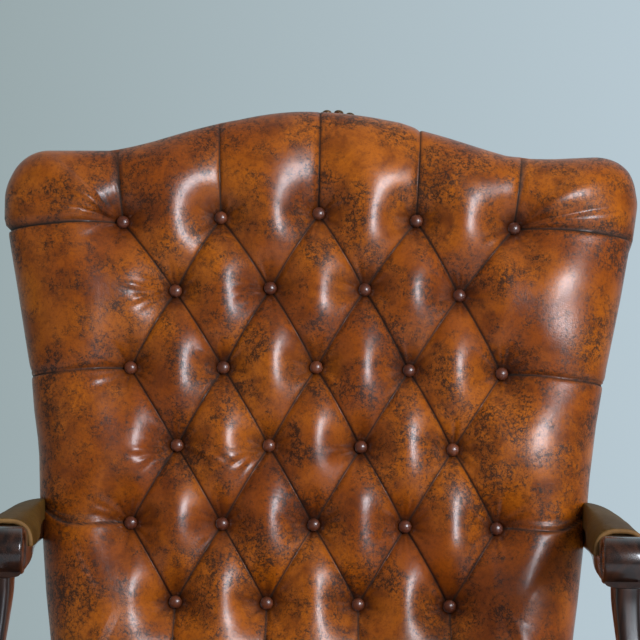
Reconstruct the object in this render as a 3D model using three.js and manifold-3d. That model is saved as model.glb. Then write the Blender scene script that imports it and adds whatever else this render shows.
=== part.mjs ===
// A library armchair with a deep-buttoned camel back, padded open arms, a loose seat
// cushion, cabriole front legs and raked rear legs.
// Millimetres. +X is to the right seen from the front, the front faces -Y, +Z is up.
// The origin is on the floor under the middle of the chair.
import * as THREE from "three";
import { mergeVertices } from "three/addons/utils/BufferGeometryUtils.js";
import Module from "manifold-3d";

// Gap between pieces that rest against each other
const fit = 0.3;

// Seat frame
const railBottom = 285;
const railHeight = 80;
const railThickness = 26;
const seatLength = 540;
const seatFrontHalfWidth = 302;
const deckThickness = 10;
const borderThickness = 3;
const borderOverhang = 3;

// Back: it leans from a pivot line a little below the top of the seat rails.
// Heights on the back are measured up its slope, depths square to it, both from the pivot.
const recline = THREE.MathUtils.degToRad(9);
const pivotDrop = 15;
const pivotHeight = railBottom + railHeight - pivotDrop;
const frameThickness = 28;
const postWidth = 30;
const backEdge = 12;
const outsidePanel = 8;
const backBottom = 30;
const shoulderHeight = 635;
const waistHalfWidth = 270;
const shoulderHalfWidth = 345.5;
const sideSweepShare = 1.45;
const earReach = 46;
const earRise = 52.5;
const crestRise = 49.5;
const crestReach = 235;
const crestPowerShare = 1.5;

// Deep buttoning: staggered rows, five and four buttons, the top row arched with the crest
const buttonRows = 6;
const buttonReachSteps = 4;
const lowRowHeight = 192.5;
const rowPitch = 84.5;
const topRowPitch = 77;
const lowPitch = 97.5;
const topPitchSpread = 10;
const spreadFadeShare = 0.6;
const archRise = 13;
const archFadeShare = 0.5;
const buttonRadius = 7.2;
const buttonHeight = 6.5;
const padFace = 58;
const padCrown = 5;
const pleatDepth = 21;
const buttonPull = 14;
const padRoll = 50;
const padEdgeHeight = 8;
const sidePleatDrop = 10;
const armPleatRise = 12;
const crestSpreadShare = 1.04;
const webbingThickness = 2;

// Arms
const armTop = 656;
const armRailTop = 630;
const armRailDepth = 24;
const armSetback = 210;
const armFront = seatLength - armSetback;
const armPadHalfWidth = 25.7;
const armPadRearHalfWidth = 14.5;
const armLineX = 292.5;
const armRearDrop = 8.5;
const armRear = 44;
const scrollRadius = 22;
const scrollHalfWidth = 23;
const scrollReach = 55;
const weltRadius = 2.4;
const meshTolerance = 0.02; // points this near one line are merged after a join
const supportWidth = 38;
const supportThickness = 26;
const supportSetback = 140;
const supportFoot = seatLength - supportSetback;
const supportLap = 62;
const armRailLap = 12; // how far the arm rail runs past the middle of the post

// Seat cushion, legs, springs
const cushionOverhang = 8;
const cushionFront = seatLength + cushionOverhang;
const cushionRear = 62;
const cushionBorder = 82;
const cushionCrown = 20;
const cushionSideGap = 11;
const cushionCornerRadius = 36;
const cushionDrawIn = 5;
const legBlock = 48;
const rearFootRake = 72;
const springCount = 4;
const springWireRadius = 2;
const springLoopWidth = 46;
const springLoops = 9;
const springSideGap = 14;

const leather = new THREE.MeshStandardMaterial({ color: 0x8a4a1c, roughness: 0.35 });
const armLeather = new THREE.MeshStandardMaterial({ color: 0x6b4a28, roughness: 0.42 });
const weltLeather = new THREE.MeshStandardMaterial({ color: 0x94692f, roughness: 0.45 });
const polishedWood = new THREE.MeshStandardMaterial({ color: 0x2e1a12, roughness: 0.25 });
const rawWood = new THREE.MeshStandardMaterial({ color: 0xb08a5c, roughness: 0.8 });
const canvas = new THREE.MeshStandardMaterial({ color: 0x8d7a58, roughness: 0.95 });
const lining = new THREE.MeshStandardMaterial({ color: 0x24211f, roughness: 0.95 });
const steel = new THREE.MeshStandardMaterial({
  color: 0x77797c,
  roughness: 0.35,
  metalness: 0.9,
});

const wasm = await Module();
wasm.setup();

const chair = new THREE.Group();
const back = new THREE.Group();
back.position.z = pivotHeight;
back.rotation.x = -recline;
chair.add(back);

function add(parent, name, geometry, material) {
  const mesh = new THREE.Mesh(geometry, material);
  mesh.name = name;
  parent.add(mesh);
  return mesh;
}

// A closed surface from its points and triangles, turned so that it faces out.
function closedSurface(points, faces) {
  let volume = 0;
  for (const [a, b, c] of faces) {
    volume += points[a].dot(points[b].clone().cross(points[c]));
  }
  const real = faces.filter(([a, b, c]) => a !== b && b !== c && c !== a);
  const index = real.flatMap(([a, b, c]) => (volume > 0 ? [a, b, c] : [a, c, b]));
  const geometry = new THREE.BufferGeometry().setFromPoints(points);
  geometry.setIndex(index);
  geometry.computeVertexNormals();
  return geometry;
}

// Skins a row of rings that all have the same number of points, and closes both ends.
function loft(rings, openSide = false) {
  const count = rings[0].length;
  const last = rings.length - 1;
  const points = rings.flat();
  const faces = [];
  for (let i = 0; i < last; i++) {
    for (let j = 0; j < count - (openSide ? 1 : 0); j++) {
      const next = (j + 1) % count;
      const low = i * count;
      const high = low + count;
      faces.push([low + j, low + next, high + next]);
      faces.push([low + j, high + next, high + j]);
    }
  }
  if (openSide) faces.push(...openEdgeFaces(count, last));
  for (const [start, turn] of [[0, true], [last * count, false]]) {
    const centre = new THREE.Vector3();
    for (let j = 0; j < count; j++) centre.addScaledVector(points[start + j], 1 / count);
    points.push(centre);
    for (let j = 0; j < count; j++) {
      const pair = [start + j, start + ((j + 1) % count)];
      if (turn) pair.reverse();
      faces.push([points.length - 1, ...pair]);
    }
  }
  return closedSurface(points, faces);
}

// Where the rings stay open between their last and first points, the edge faces close
// the two walls and the floor between them, and leave the hollow open.
function openEdgeFaces(count, last) {
  const first = (i) => i * count;
  const end = (i) => i * count + count - 1;
  const faces = [
    [first(0), first(last), end(last)],
    [first(0), end(last), end(0)],
  ];
  for (let i = 1; i < last; i++) {
    faces.push([first(0), first(i), first(i + 1)]);
    faces.push([end(0), end(i + 1), end(i)]);
  }
  return faces;
}

// A ring from round to nearly square: the power is 2 for an ellipse and more for a box.
function roundedRing(centre, alongA, alongB, halfA, halfB, power, count) {
  const ring = [];
  for (let j = 0; j < count; j++) {
    const angle = ((j + 0.5) / count) * Math.PI * 2;
    const bend = (value) => Math.sign(value) * Math.abs(value) ** (2 / power);
    ring.push(
      centre
        .clone()
        .addScaledVector(alongA, halfA * bend(Math.cos(angle)))
        .addScaledVector(alongB, halfB * bend(Math.sin(angle))),
    );
  }
  return ring;
}

const sideways = new THREE.Vector3(1, 0, 0);
const forwards = new THREE.Vector3(0, -1, 0);
const upwards = new THREE.Vector3(0, 0, 1);
const upSlope = new THREE.Vector3(0, Math.sin(recline), Math.cos(recline));
const offSlope = new THREE.Vector3(0, -Math.cos(recline), Math.sin(recline));

// A point of the leaning back in the chair's own axes.
function onBack(across, up, out) {
  return new THREE.Vector3(across, 0, pivotHeight)
    .addScaledVector(upSlope, up)
    .addScaledVector(offSlope, out);
}

// How far up the slope the back reaches a height above the floor, at a depth off it.
function slopeAt(height, out) {
  return (height - pivotHeight - out * Math.sin(recline)) / Math.cos(recline);
}

function toSolid(geometry) {
  const plain = geometry.clone();
  plain.deleteAttribute("normal");
  plain.deleteAttribute("uv");
  const merged = mergeVertices(plain);
  return new wasm.Manifold(
    new wasm.Mesh({
      numProp: 3,
      vertProperties: merged.attributes.position.array,
      triVerts: new Uint32Array(merged.index.array),
    }),
  );
}

function toGeometry(solid) {
  const mesh = solid.getMesh();
  const geometry = new THREE.BufferGeometry();
  geometry.setAttribute("position", new THREE.BufferAttribute(mesh.vertProperties, 3));
  geometry.setIndex(new THREE.BufferAttribute(mesh.triVerts, 1));
  geometry.computeVertexNormals();
  return geometry;
}

// The outline of the back: a waisted side, a round ear and a humped crest.
function backHalfWidth(up) {
  const rise = Math.min(Math.max((up - backBottom) / (shoulderHeight - backBottom), 0), 1);
  return waistHalfWidth + (shoulderHalfWidth - waistHalfWidth) * rise ** sideSweepShare;
}

function crestHeight(across) {
  const hump = Math.max(1 - (across / crestReach) ** 2, 0) ** crestPowerShare;
  return shoulderHeight + earRise + crestRise * hump;
}

function earPoint(angle) {
  return new THREE.Vector2(
    shoulderHalfWidth - earReach * (1 - Math.cos(angle)),
    shoulderHeight + earRise * Math.sin(angle),
  );
}

const earSteps = 6;
const crestSteps = 12;

// The right half of the outline from the bottom corner to the middle of the crest.
function halfOutline(bottom, sideSteps) {
  const line = [];
  for (let i = 0; i < sideSteps; i++) {
    const up = bottom + ((shoulderHeight - bottom) * i) / sideSteps;
    line.push(new THREE.Vector2(backHalfWidth(up), up));
  }
  for (let i = 0; i < earSteps; i++) line.push(earPoint(((i / earSteps) * Math.PI) / 2));
  const crestStart = shoulderHalfWidth - earReach;
  for (let i = 0; i <= crestSteps; i++) {
    const across = crestStart * (1 - i / crestSteps);
    line.push(new THREE.Vector2(across, crestHeight(across)));
  }
  return line;
}

// The whole outline, drawn in by an inset square to its edge, with a straight foot.
function insetOutline(inset, bottom, sideSteps) {
  const line = halfOutline(bottom, sideSteps);
  const right = line.map((point, i) => {
    const before = line[Math.max(i - 1, 0)];
    const after = line[Math.min(i + 1, line.length - 1)];
    const along = after.clone().sub(before).normalize();
    if (i === 0) along.set(0, 1);
    if (i === line.length - 1) along.set(-1, 0);
    return new THREE.Vector2(point.x - along.y * inset, point.y + along.x * inset);
  });
  const left = right.slice(0, -1).map((point) => new THREE.Vector2(-point.x, point.y));
  return [...right, ...left.reverse()];
}

// Boards of the back frame lie between two depths off the slope.
function backBoard(outline, frontDepth, rearDepth) {
  const board = new THREE.ExtrudeGeometry(new THREE.Shape(outline), {
    depth: frontDepth - rearDepth,
    bevelEnabled: false,
  });
  board.rotateX(Math.PI / 2);
  board.translate(0, -rearDepth, 0);
  return board;
}

const frameInset = backEdge + fit;
const postTop = shoulderHeight - postWidth;
const outsideBottom = slopeAt(railBottom, -frameThickness);

// The arm rail's rear end is screwed to the post through the padded edge of the back.
const armRailMid = armRailTop - armRailDepth / 2;
const armSeatUp = slopeAt(armRailMid, -frameThickness / 2);
const armRearInnerX = backHalfWidth(slopeAt(armRailTop, -frameThickness)) + fit * 2;

function joined(geometries) {
  const solid = geometries.map(toSolid).reduce((all, one) => all.add(one));
  return toGeometry(solid.simplify(meshTolerance));
}

function makeCrestRail() {
  const line = insetOutline(frameInset + fit, postTop + fit, 1);
  add(back, "crest_rail", backBoard(line, 0, -frameThickness), rawWood);
}

// A plain rail between the posts, from one height on the slope to another.
function makeCrossRail(name, low, high) {
  const reachAt = (up) => backHalfWidth(up) - frameInset - postWidth - fit;
  const line = [
    new THREE.Vector2(-reachAt(low), low),
    new THREE.Vector2(reachAt(low), low),
    new THREE.Vector2(reachAt(high), high),
    new THREE.Vector2(-reachAt(high), high),
  ];
  add(back, name, backBoard(line, 0, -frameThickness), rawWood);
}

// One stile: a raked rear leg below the seat and a back upright above it, sawn in one piece.
function makePost(name, side) {
  const rings = [];
  const legStations = 6;
  const footShare = 0.8;
  const rakePowerShare = 1.5;
  const boxPower = 8;
  const ringCount = 8;
  const knee = onBack(0, outsideBottom, -frameThickness / 2);
  const legX = side * (backHalfWidth(outsideBottom) - frameInset - postWidth / 2);
  for (let i = 0; i < legStations; i++) {
    const share = 1 - i / legStations;
    const rake = rearFootRake * share ** rakePowerShare;
    const centre = new THREE.Vector3(legX, knee.y + rake, knee.z * (1 - share));
    const taper = THREE.MathUtils.lerp(1, footShare, share);
    const halfWidth = (postWidth / 2) * taper;
    const halfDepth = (frameThickness / 2) * taper;
    rings.push(
      roundedRing(centre, sideways, forwards, halfWidth, halfDepth, boxPower, ringCount),
    );
  }
  const uprightStations = 8;
  for (let i = 0; i <= uprightStations; i++) {
    const up = THREE.MathUtils.lerp(outsideBottom, postTop, i / uprightStations);
    const across = side * (backHalfWidth(up) - frameInset - postWidth / 2);
    const centre = onBack(across, up, -frameThickness / 2);
    const halfDepth = frameThickness / 2;
    rings.push(
      roundedRing(centre, sideways, offSlope, postWidth / 2, halfDepth, boxPower, ringCount),
    );
  }
  add(chair, name, loft(rings), polishedWood);
}

function makeWebbing() {
  const line = insetOutline(frameInset + backEdge / 2, backBottom + fit, 8);
  add(back, "back_webbing", backBoard(line, webbingThickness + fit, fit), canvas);
}

// The outside back: a panel over the rear of the frame with padded edges turned forward.
function makeOutsideBack() {
  const ringAt = (inset, depth) =>
    insetOutline(inset, outsideBottom, 9).map(
      (point) => new THREE.Vector3(point.x, -depth, point.y),
    );
  const floor = -frameThickness - fit;
  const rear = floor - outsidePanel;
  const softening = outsidePanel / 2;
  const rings = [
    ringAt(backEdge, floor),
    ringAt(backEdge, -fit),
    ringAt(softening / 2, -fit),
    ringAt(0, -padEdgeHeight),
    ringAt(0, floor),
    ringAt(softening, rear + softening / 2),
    ringAt(softening * 3, rear),
  ];
  add(back, "outside_back", loft(rings, true), leather);
}

// The buttoning is laid out in steps: across, half a diamond's width each, from the middle
// line, and down, one row each, from the top row. Buttons sit where the sum is even.
function tuftPoint(across, down) {
  const halfPitch = (lowPitch + topPitchSpread * spreadFadeShare ** down) / 2;
  const belowTop = Math.max(1 - down, 0) * topRowPitch;
  const rowsUp = buttonRows - 1 - Math.max(down, 1);
  const hump = (1 + Math.cos((Math.PI * across) / buttonReachSteps)) / 2;
  return new THREE.Vector2(
    across * halfPitch,
    lowRowHeight + rowsUp * rowPitch + belowTop + archRise * archFadeShare ** down * hump,
  );
}

const pillowPowerShare = 0.4;
const buttonSeatShare = 0.16;
const buttonBlendShare = 0.5;
const gridShares = [0, buttonSeatShare, 0.5, 1 - buttonSeatShare];

// 0 along the pleats between buttons and 1 in the middle of each diamond.
function diamondFullness(across, down) {
  const one = Math.abs(Math.sin((Math.PI * (across + down)) / 2));
  const other = Math.abs(Math.sin((Math.PI * (across - down)) / 2));
  return (one * other) ** pillowPowerShare;
}

// 1 on the flat seat of a button, falling to 0 half a step away.
function buttonNearness(across, down) {
  const column = Math.round(across);
  const row = Math.round(down);
  if ((column + row) % 2 !== 0) return 0;
  const away = Math.max(Math.abs(across - column), Math.abs(down - row));
  return 1 - THREE.MathUtils.smoothstep(away, buttonSeatShare, buttonBlendShare);
}

function padHeight(across, down) {
  const crownAcross = Math.cos((Math.PI * across) / (buttonReachSteps * 2 + 2));
  const crownDown = Math.sin((Math.PI * (down + 1)) / (buttonRows + 1));
  const near = buttonNearness(across, down);
  const fullness = diamondFullness(across, down) * (1 - near);
  const crown = padCrown * crownAcross * crownDown;
  return padFace + crown - pleatDepth * (1 - fullness) - buttonPull * near;
}

function gridLines(from, to) {
  const lines = [];
  for (let step = from; step < to; step++) {
    for (const share of gridShares) lines.push(step + share);
  }
  return [...lines, to];
}

// From each point on the rim of the buttoned field a ray runs out to the edge of the back.
// Its fullness is 0 where the ray is a pleat and 1 halfway between two pleats.
function padRays(columns, rows) {
  const lastRow = rows.length - 1;
  const edgeFullness = (turn) => Math.abs(turn) ** (pillowPowerShare * 2);
  const sidePoint = (up) => new THREE.Vector2(backHalfWidth(up), up);
  const top = columns.map((across, i) => {
    const reach = tuftPoint(across, 0).x * crestSpreadShare;
    return {
      start: [i, 0],
      end: new THREE.Vector2(reach, crestHeight(reach)),
      fullness: edgeFullness(Math.sin((Math.PI * across) / 2)),
    };
  });
  const lastColumn = columns.length - 1;
  const cornerRays = 4;
  const ear = Array.from({ length: cornerRays }, (_, i) => ({
    start: [lastColumn, 0],
    end: earPoint((Math.PI / 2) * (1 - i / (cornerRays - 1))),
    fullness: edgeFullness(Math.sin((Math.PI * (i + 1)) / (cornerRays + 1))),
  }));
  const right = rows.map((down, i) => {
    const armShare = Math.min(Math.max(down / 2 - 1, 0), 1);
    const lift = THREE.MathUtils.lerp(-sidePleatDrop, armPleatRise, armShare);
    return {
      start: [lastColumn, i],
      end: sidePoint(tuftPoint(buttonReachSteps, down).y + lift),
      fullness: edgeFullness(Math.sin((Math.PI * down) / 2)),
    };
  });
  const lowSide = right[lastRow].end;
  const foot = columns.map((across, i) => ({
    start: [i, lastRow],
    end: new THREE.Vector2(tuftPoint(across, rows[lastRow]).x * crestSpreadShare, backBottom),
    fullness: edgeFullness(Math.cos((Math.PI * across) / 2)),
  }));
  const lowCorner = new THREE.Vector2(backHalfWidth(backBottom), backBottom);
  const heel = [
    sidePoint((lowSide.y + backBottom) / 2),
    lowCorner,
    lowCorner.clone().lerp(foot[lastColumn].end, 0.5),
  ].map((end) => ({ start: [lastColumn, lastRow], end, fullness: 1 }));
  const mirrored = [...ear, ...right, ...heel].reverse().map((ray) => ({
    start: [0, ray.start[1]],
    end: new THREE.Vector2(-ray.end.x, ray.end.y),
    fullness: ray.fullness,
  }));
  return [...top, ...ear, ...right, ...heel, ...foot.reverse(), ...mirrored];
}

// The inside back: a buttoned field of diamonds and a border that rolls over the edge.
function makeBackPad() {
  const columns = gridLines(-buttonReachSteps, buttonReachSteps);
  const rows = gridLines(0, buttonRows - 1);
  const points = [];
  const faces = [];
  const placed = (flat, out) => points.push(new THREE.Vector3(flat.x, -out, flat.y)) - 1;
  const field = rows.map((down) =>
    columns.map((across) => placed(tuftPoint(across, down), padHeight(across, down))),
  );
  for (let row = 0; row + 1 < rows.length; row++) {
    for (let column = 0; column + 1 < columns.length; column++) {
      const [a, b] = [field[row][column], field[row][column + 1]];
      const [c, d] = [field[row + 1][column + 1], field[row + 1][column]];
      const cell = Math.floor(columns[column]) + Math.floor(rows[row]);
      const alongPleat = cell % 2 === 0;
      if (alongPleat) faces.push([a, c, b], [a, d, c]);
      else faces.push([a, d, b], [b, d, c]);
    }
  }
  const rollAngles = [0, 50, 90].map(THREE.MathUtils.degToRad);
  const edgeFadeShare = 0.3;
  const rearDepth = webbingThickness + fit * 2;
  const rearInset = padEdgeHeight / 2;
  const rays = padRays(columns, rows).map((ray) => {
    const [column, row] = ray.start;
    const start = tuftPoint(columns[column], rows[row]);
    const length = start.distanceTo(ray.end);
    const outward = ray.end.clone().sub(start).divideScalar(length);
    const roll = Math.min(padRoll, length * 0.7);
    const chain = rollAngles.map((angle) => {
      const fade = THREE.MathUtils.lerp(1, edgeFadeShare, angle / (Math.PI / 2));
      const dent = pleatDepth * (1 - ray.fullness) * fade;
      const reach = length - roll * (1 - Math.sin(angle)) - dent * Math.sin(angle);
      const out = THREE.MathUtils.lerp(padEdgeHeight, padFace - dent, Math.cos(angle));
      return placed(start.clone().addScaledVector(outward, reach), out);
    });
    const rear = start.clone().addScaledVector(outward, length - rearInset);
    const place = [columns[column], rows[row]];
    const besideButton = buttonNearness(...place) > 1 - Number.EPSILON;
    const seatEdge = start.clone().addScaledVector(outward, buttonRadius + fit * 4);
    const seat = besideButton ? placed(seatEdge, padHeight(...place)) : field[row][column];
    return [field[row][column], seat, ...chain, placed(rear, rearDepth)];
  });
  const centre = placed(new THREE.Vector2(0, (shoulderHeight + backBottom) / 2), rearDepth);
  rays.forEach((ray, i) => {
    const next = rays[(i + 1) % rays.length];
    for (let k = 0; k + 1 < ray.length; k++) {
      faces.push([ray[k], next[k], next[k + 1]], [ray[k], next[k + 1], ray[k + 1]]);
    }
    faces.push([ray.at(-1), next.at(-1), centre]);
  });
  add(back, "back_pad", closedSurface(points, faces), leather);
}

// Covered buttons, each pulled down into its seat in the pad.
function makeButtons() {
  const seatGap = fit * 1.5;
  const profileShares = [[1, 0], [1, 0.2], [0.82, 0.7], [0.42, 0.96]];
  const sides = 12;
  for (let row = 0; row < buttonRows; row++) {
    const reach = buttonReachSteps - (row % 2);
    for (let step = -reach, column = 1; step <= reach; step += 2, column++) {
      const place = tuftPoint(step, row);
      const rings = profileShares.map(([radiusShare, heightShare]) => {
        const centre = new THREE.Vector3(0, -buttonHeight * heightShare, 0);
        const radius = buttonRadius * radiusShare;
        return roundedRing(centre, sideways, upwards, radius, radius, 2, sides);
      });
      const name = `back_button_${row + 1}_${column}`;
      const button = add(back, name, loft(rings), leather);
      button.position.set(place.x, -padHeight(step, row) - seatGap, place.y);
    }
  }
}

const railTop = railBottom + railHeight;
const blockRear = seatLength - legBlock;
const seatRearHalfWidth = backHalfWidth(outsideBottom) - frameInset;

// Outer face of the side rails, which close in towards the back. Ahead is measured
// forward of the pivot line.
function railOuterX(ahead) {
  const share = Math.max(1 - ahead / blockRear, 0);
  return THREE.MathUtils.lerp(seatFrontHalfWidth, seatRearHalfWidth, share);
}

// How far behind the pivot line the leaning back stands at a height, at a depth off it.
function backPlaneY(height, out) {
  return onBack(0, slopeAt(height, out), out).y;
}

function makeSideRail(name, side) {
  const ringAt = (ahead) =>
    [
      [railBottom, 0],
      [railTop, 0],
      [railTop, railThickness],
      [railBottom, railThickness],
    ].map(([height, inwards]) => {
      const y = ahead > 0 ? -ahead : backPlaneY(height, fit);
      return new THREE.Vector3(side * (railOuterX(-y) - inwards), y, height);
    });
  add(chair, name, loft([ringAt(blockRear - fit), ringAt(0)]), rawWood);
}

function makeFrontRail() {
  const width = (seatFrontHalfWidth - legBlock - fit) * 2;
  const board = new THREE.BoxGeometry(width, railThickness, railHeight);
  const rail = add(chair, "seat_rail_front", board, rawWood);
  rail.position.set(0, -seatLength + fit + railThickness / 2, railBottom + railHeight / 2);
}

// A glued block braces each front corner behind the leg.
const braceShare = 1.3;
const brace = legBlock * braceShare;
const braceInnerX = seatFrontHalfWidth - legBlock - fit - brace;

function makeCornerBlock(name, side) {
  const insetX = seatFrontHalfWidth - legBlock - fit;
  const frontY = -seatLength + railThickness + fit * 2;
  const legY = -blockRear + fit * 2;
  const innerFace = (ahead) => railOuterX(ahead) - railThickness - fit * 2;
  const shape = new THREE.Shape([
    new THREE.Vector2(braceInnerX, frontY),
    new THREE.Vector2(insetX - fit, frontY),
    new THREE.Vector2(insetX - fit, legY),
    new THREE.Vector2(innerFace(-legY), legY),
    new THREE.Vector2(innerFace(-legY - brace), legY + brace),
  ]);
  const heightShare = 0.7;
  const depth = railHeight * heightShare;
  const block = new THREE.ExtrudeGeometry(shape, { depth, bevelEnabled: false });
  const mesh = add(chair, name, block, rawWood);
  mesh.position.z = railTop - depth - fit;
  mesh.scale.x = side;
}

// Cabriole leg: the square block at the seat corner runs into a swelling knee, a slim
// ankle and a pad foot. Shares are of the height below the rail and of the block.
function makeFrontLeg(name, side) {
  const stationShares = [
    { height: 0.98, reachShare: 0, halfShare: 0.5, power: 10 },
    { height: 0.94, reachShare: 0.1, halfShare: 0.56, power: 6 },
    { height: 0.87, reachShare: 0.2, halfShare: 0.6, power: 3.6 },
    { height: 0.76, reachShare: 0.22, halfShare: 0.55, power: 3 },
    { height: 0.63, reachShare: 0.13, halfShare: 0.45, power: 2.7 },
    { height: 0.48, reachShare: 0, halfShare: 0.36, power: 2.4 },
    { height: 0.33, reachShare: -0.08, halfShare: 0.3, power: 2.1 },
    { height: 0.2, reachShare: -0.09, halfShare: 0.27, power: 2 },
    { height: 0.12, reachShare: -0.03, halfShare: 0.32, power: 2 },
    { height: 0.075, reachShare: 0.07, halfShare: 0.5, power: 2 },
    { height: 0.04, reachShare: 0.1, halfShare: 0.57, power: 2 },
    { height: 0.012, reachShare: 0.1, halfShare: 0.52, power: 2 },
    { height: 0, reachShare: 0.1, halfShare: 0.45, power: 2 },
  ];
  const sides = 16;
  const blockX = seatFrontHalfWidth - legBlock / 2;
  const blockY = -seatLength + legBlock / 2;
  const blockPower = 10;
  const top = new THREE.Vector3(side * blockX, blockY, railTop);
  const half = legBlock / 2;
  const rings = [roundedRing(top, sideways, forwards, half, half, blockPower, sides)];
  for (const { height, reachShare, halfShare, power } of stationShares) {
    const reach = reachShare * legBlock;
    const centre = new THREE.Vector3(
      side * (blockX + reach),
      blockY - reach,
      railBottom * height,
    );
    const size = legBlock * halfShare;
    rings.push(roundedRing(centre, sideways, forwards, size, size, power, sides));
  }
  add(chair, name, loft(rings), polishedWood);
}

const deckBottom = railTop + fit;
const deckTop = deckBottom + deckThickness;

// The sprung platform under the cushion.
function makeSeatDeck() {
  const rear = backPlaneY(deckBottom, fit) - fit;
  const edge = borderThickness / 2;
  const front = -seatLength + edge;
  const frontX = seatFrontHalfWidth - edge;
  const shape = new THREE.Shape([
    new THREE.Vector2(-frontX, front),
    new THREE.Vector2(frontX, front),
    new THREE.Vector2(frontX, -blockRear),
    new THREE.Vector2(seatRearHalfWidth - edge, rear),
    new THREE.Vector2(-seatRearHalfWidth + edge, rear),
    new THREE.Vector2(-frontX, -blockRear),
  ]);
  const board = new THREE.ExtrudeGeometry(shape, { depth: deckThickness, bevelEnabled: false });
  add(chair, "seat_deck", board, armLeather).position.z = deckBottom;
}

// The leather border wraps the front and both sides of the seat frame.
function makeSeatBorder() {
  const low = railBottom - borderOverhang;
  const high = deckTop;
  const corner = borderThickness * 1.5;
  const half = [
    { ahead: 0, x: seatRearHalfWidth, normal: [1, 0] },
    { ahead: blockRear, x: seatFrontHalfWidth, normal: [1, 0] },
    { ahead: seatLength - corner, x: seatFrontHalfWidth, normal: [1, 0] },
    { ahead: seatLength - corner / 3, x: seatFrontHalfWidth - corner / 3, normal: [0.7, -0.7] },
    { ahead: seatLength, x: seatFrontHalfWidth - corner, normal: [0, -1] },
  ];
  const other = half.map(({ ahead, x, normal }) => ({
    ahead,
    x: -x,
    normal: [-normal[0], normal[1]],
  }));
  const rings = [...half, ...other.reverse()].map(({ ahead, x, normal }) =>
    [
      [low, fit],
      [high, fit],
      [high, fit + borderThickness],
      [low, fit + borderThickness],
    ].map(([height, out]) => {
      const y = ahead > 0 ? -ahead : backPlaneY(height, fit);
      const across = ahead > 0 ? x : Math.sign(x) * railOuterX(-y);
      return new THREE.Vector3(across + normal[0] * out, y + normal[1] * out, height);
    }),
  );
  add(chair, "seat_border", loft(rings), leather);
}

function makeDustCover() {
  const thickness = borderThickness - fit * 2;
  const edge = fit * 3;
  const legInner = seatFrontHalfWidth - legBlock - edge;
  const rear = backPlaneY(railBottom, 0) - edge;
  const frontShape = [
    new THREE.Vector2(legInner, -seatLength + edge),
    new THREE.Vector2(legInner, -blockRear + edge),
    new THREE.Vector2(railOuterX(blockRear) - edge, -blockRear + edge),
    new THREE.Vector2(railOuterX(-rear) - edge, rear),
  ];
  const mirror = frontShape.map((point) => new THREE.Vector2(-point.x, point.y)).reverse();
  const shape = new THREE.Shape([...frontShape, ...mirror]);
  const sheet = new THREE.ExtrudeGeometry(shape, { depth: thickness, bevelEnabled: false });
  add(chair, "dust_cover", sheet, lining).position.z = railBottom - fit - thickness;
}

// Sinuous springs run from the front rail to the rear rail, level with the rail tops.
function makeSpring(name, x) {
  const height = railTop - springWireRadius * 2;
  const rear = backPlaneY(height - springWireRadius, fit);
  const front = -seatLength + fit * 2 + railThickness;
  const pitch = (rear - front) / (springLoops + 2);
  const straight = pitch / 2;
  const route = [
    new THREE.Vector3(x, front, height),
    new THREE.Vector3(x, front + straight, height),
  ];
  for (let i = 0; i < springLoops; i++) {
    const turn = i % 2 === 0 ? 1 : -1;
    const y = front + pitch * (i + 1.5);
    route.push(new THREE.Vector3(x + (turn * springLoopWidth) / 2, y, height));
  }
  route.push(new THREE.Vector3(x, rear - straight, height));
  route.push(new THREE.Vector3(x, rear, height));
  const section = new THREE.Shape();
  section.absarc(0, 0, springWireRadius, 0, Math.PI * 2);
  const wire = new THREE.ExtrudeGeometry(section, {
    extrudePath: new THREE.CatmullRomCurve3(route),
    steps: springLoops * 5,
    curveSegments: 3,
  });
  add(chair, name, wire, steel);
}

function smooth(share) {
  return THREE.MathUtils.smoothstep(share, 0, 1);
}

// The armrest narrows towards the back. Ahead is measured forward of the pivot line.
const armPadRearX = armRearInnerX + weltRadius + armPadRearHalfWidth;

function armShare(ahead) {
  return smooth((ahead + armRear) / (armFront + armRear));
}

function armPadSection(ahead) {
  const share = armShare(ahead);
  const swell = share ** 0.75;
  return {
    x: THREE.MathUtils.lerp(armPadRearX, armLineX, share),
    half: THREE.MathUtils.lerp(armPadRearHalfWidth, armPadHalfWidth, swell),
    top: armTop - armRearDrop * (1 - swell),
  };
}

// A half-round section standing on the arm rail, from one lower corner to the other.
function archRing(side, ahead, scale, sides) {
  const { x, half, top } = armPadSection(ahead);
  const base = armRailTop + fit;
  const ring = [];
  for (let j = 0; j <= sides; j++) {
    const angle = (Math.PI * j) / sides;
    const across = half * scale * Math.cos(angle);
    const rise = (top - base) * scale * Math.sin(angle);
    ring.push(new THREE.Vector3(side * (x + across), -ahead, base + rise));
  }
  return ring;
}

function makeArmPad(name, side) {
  const sides = 12;
  const endRound = weltRadius * 3;
  const endShares = [
    [0, 0.55],
    [0.35, 0.82],
    [1, 1],
  ];
  const rearEnd = endShares.map(([share, scale]) => [-armRear + endRound * share, scale]);
  const frontShare = 0.97;
  const frontEnd = [
    [armFront - weltRadius, 1],
    [armFront, frontShare],
  ];
  const length = armFront + armRear;
  const middleShares = [0.12, 0.25, 0.4, 0.55, 0.7, 0.85];
  const middle = middleShares.map((share) => [
    -armRear + length * share,
    1,
  ]);
  const rings = [...rearEnd, ...middle, ...frontEnd].map(([ahead, scale]) =>
    archRing(side, ahead, scale, sides),
  );
  add(chair, name, loft(rings), armLeather);
}

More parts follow.
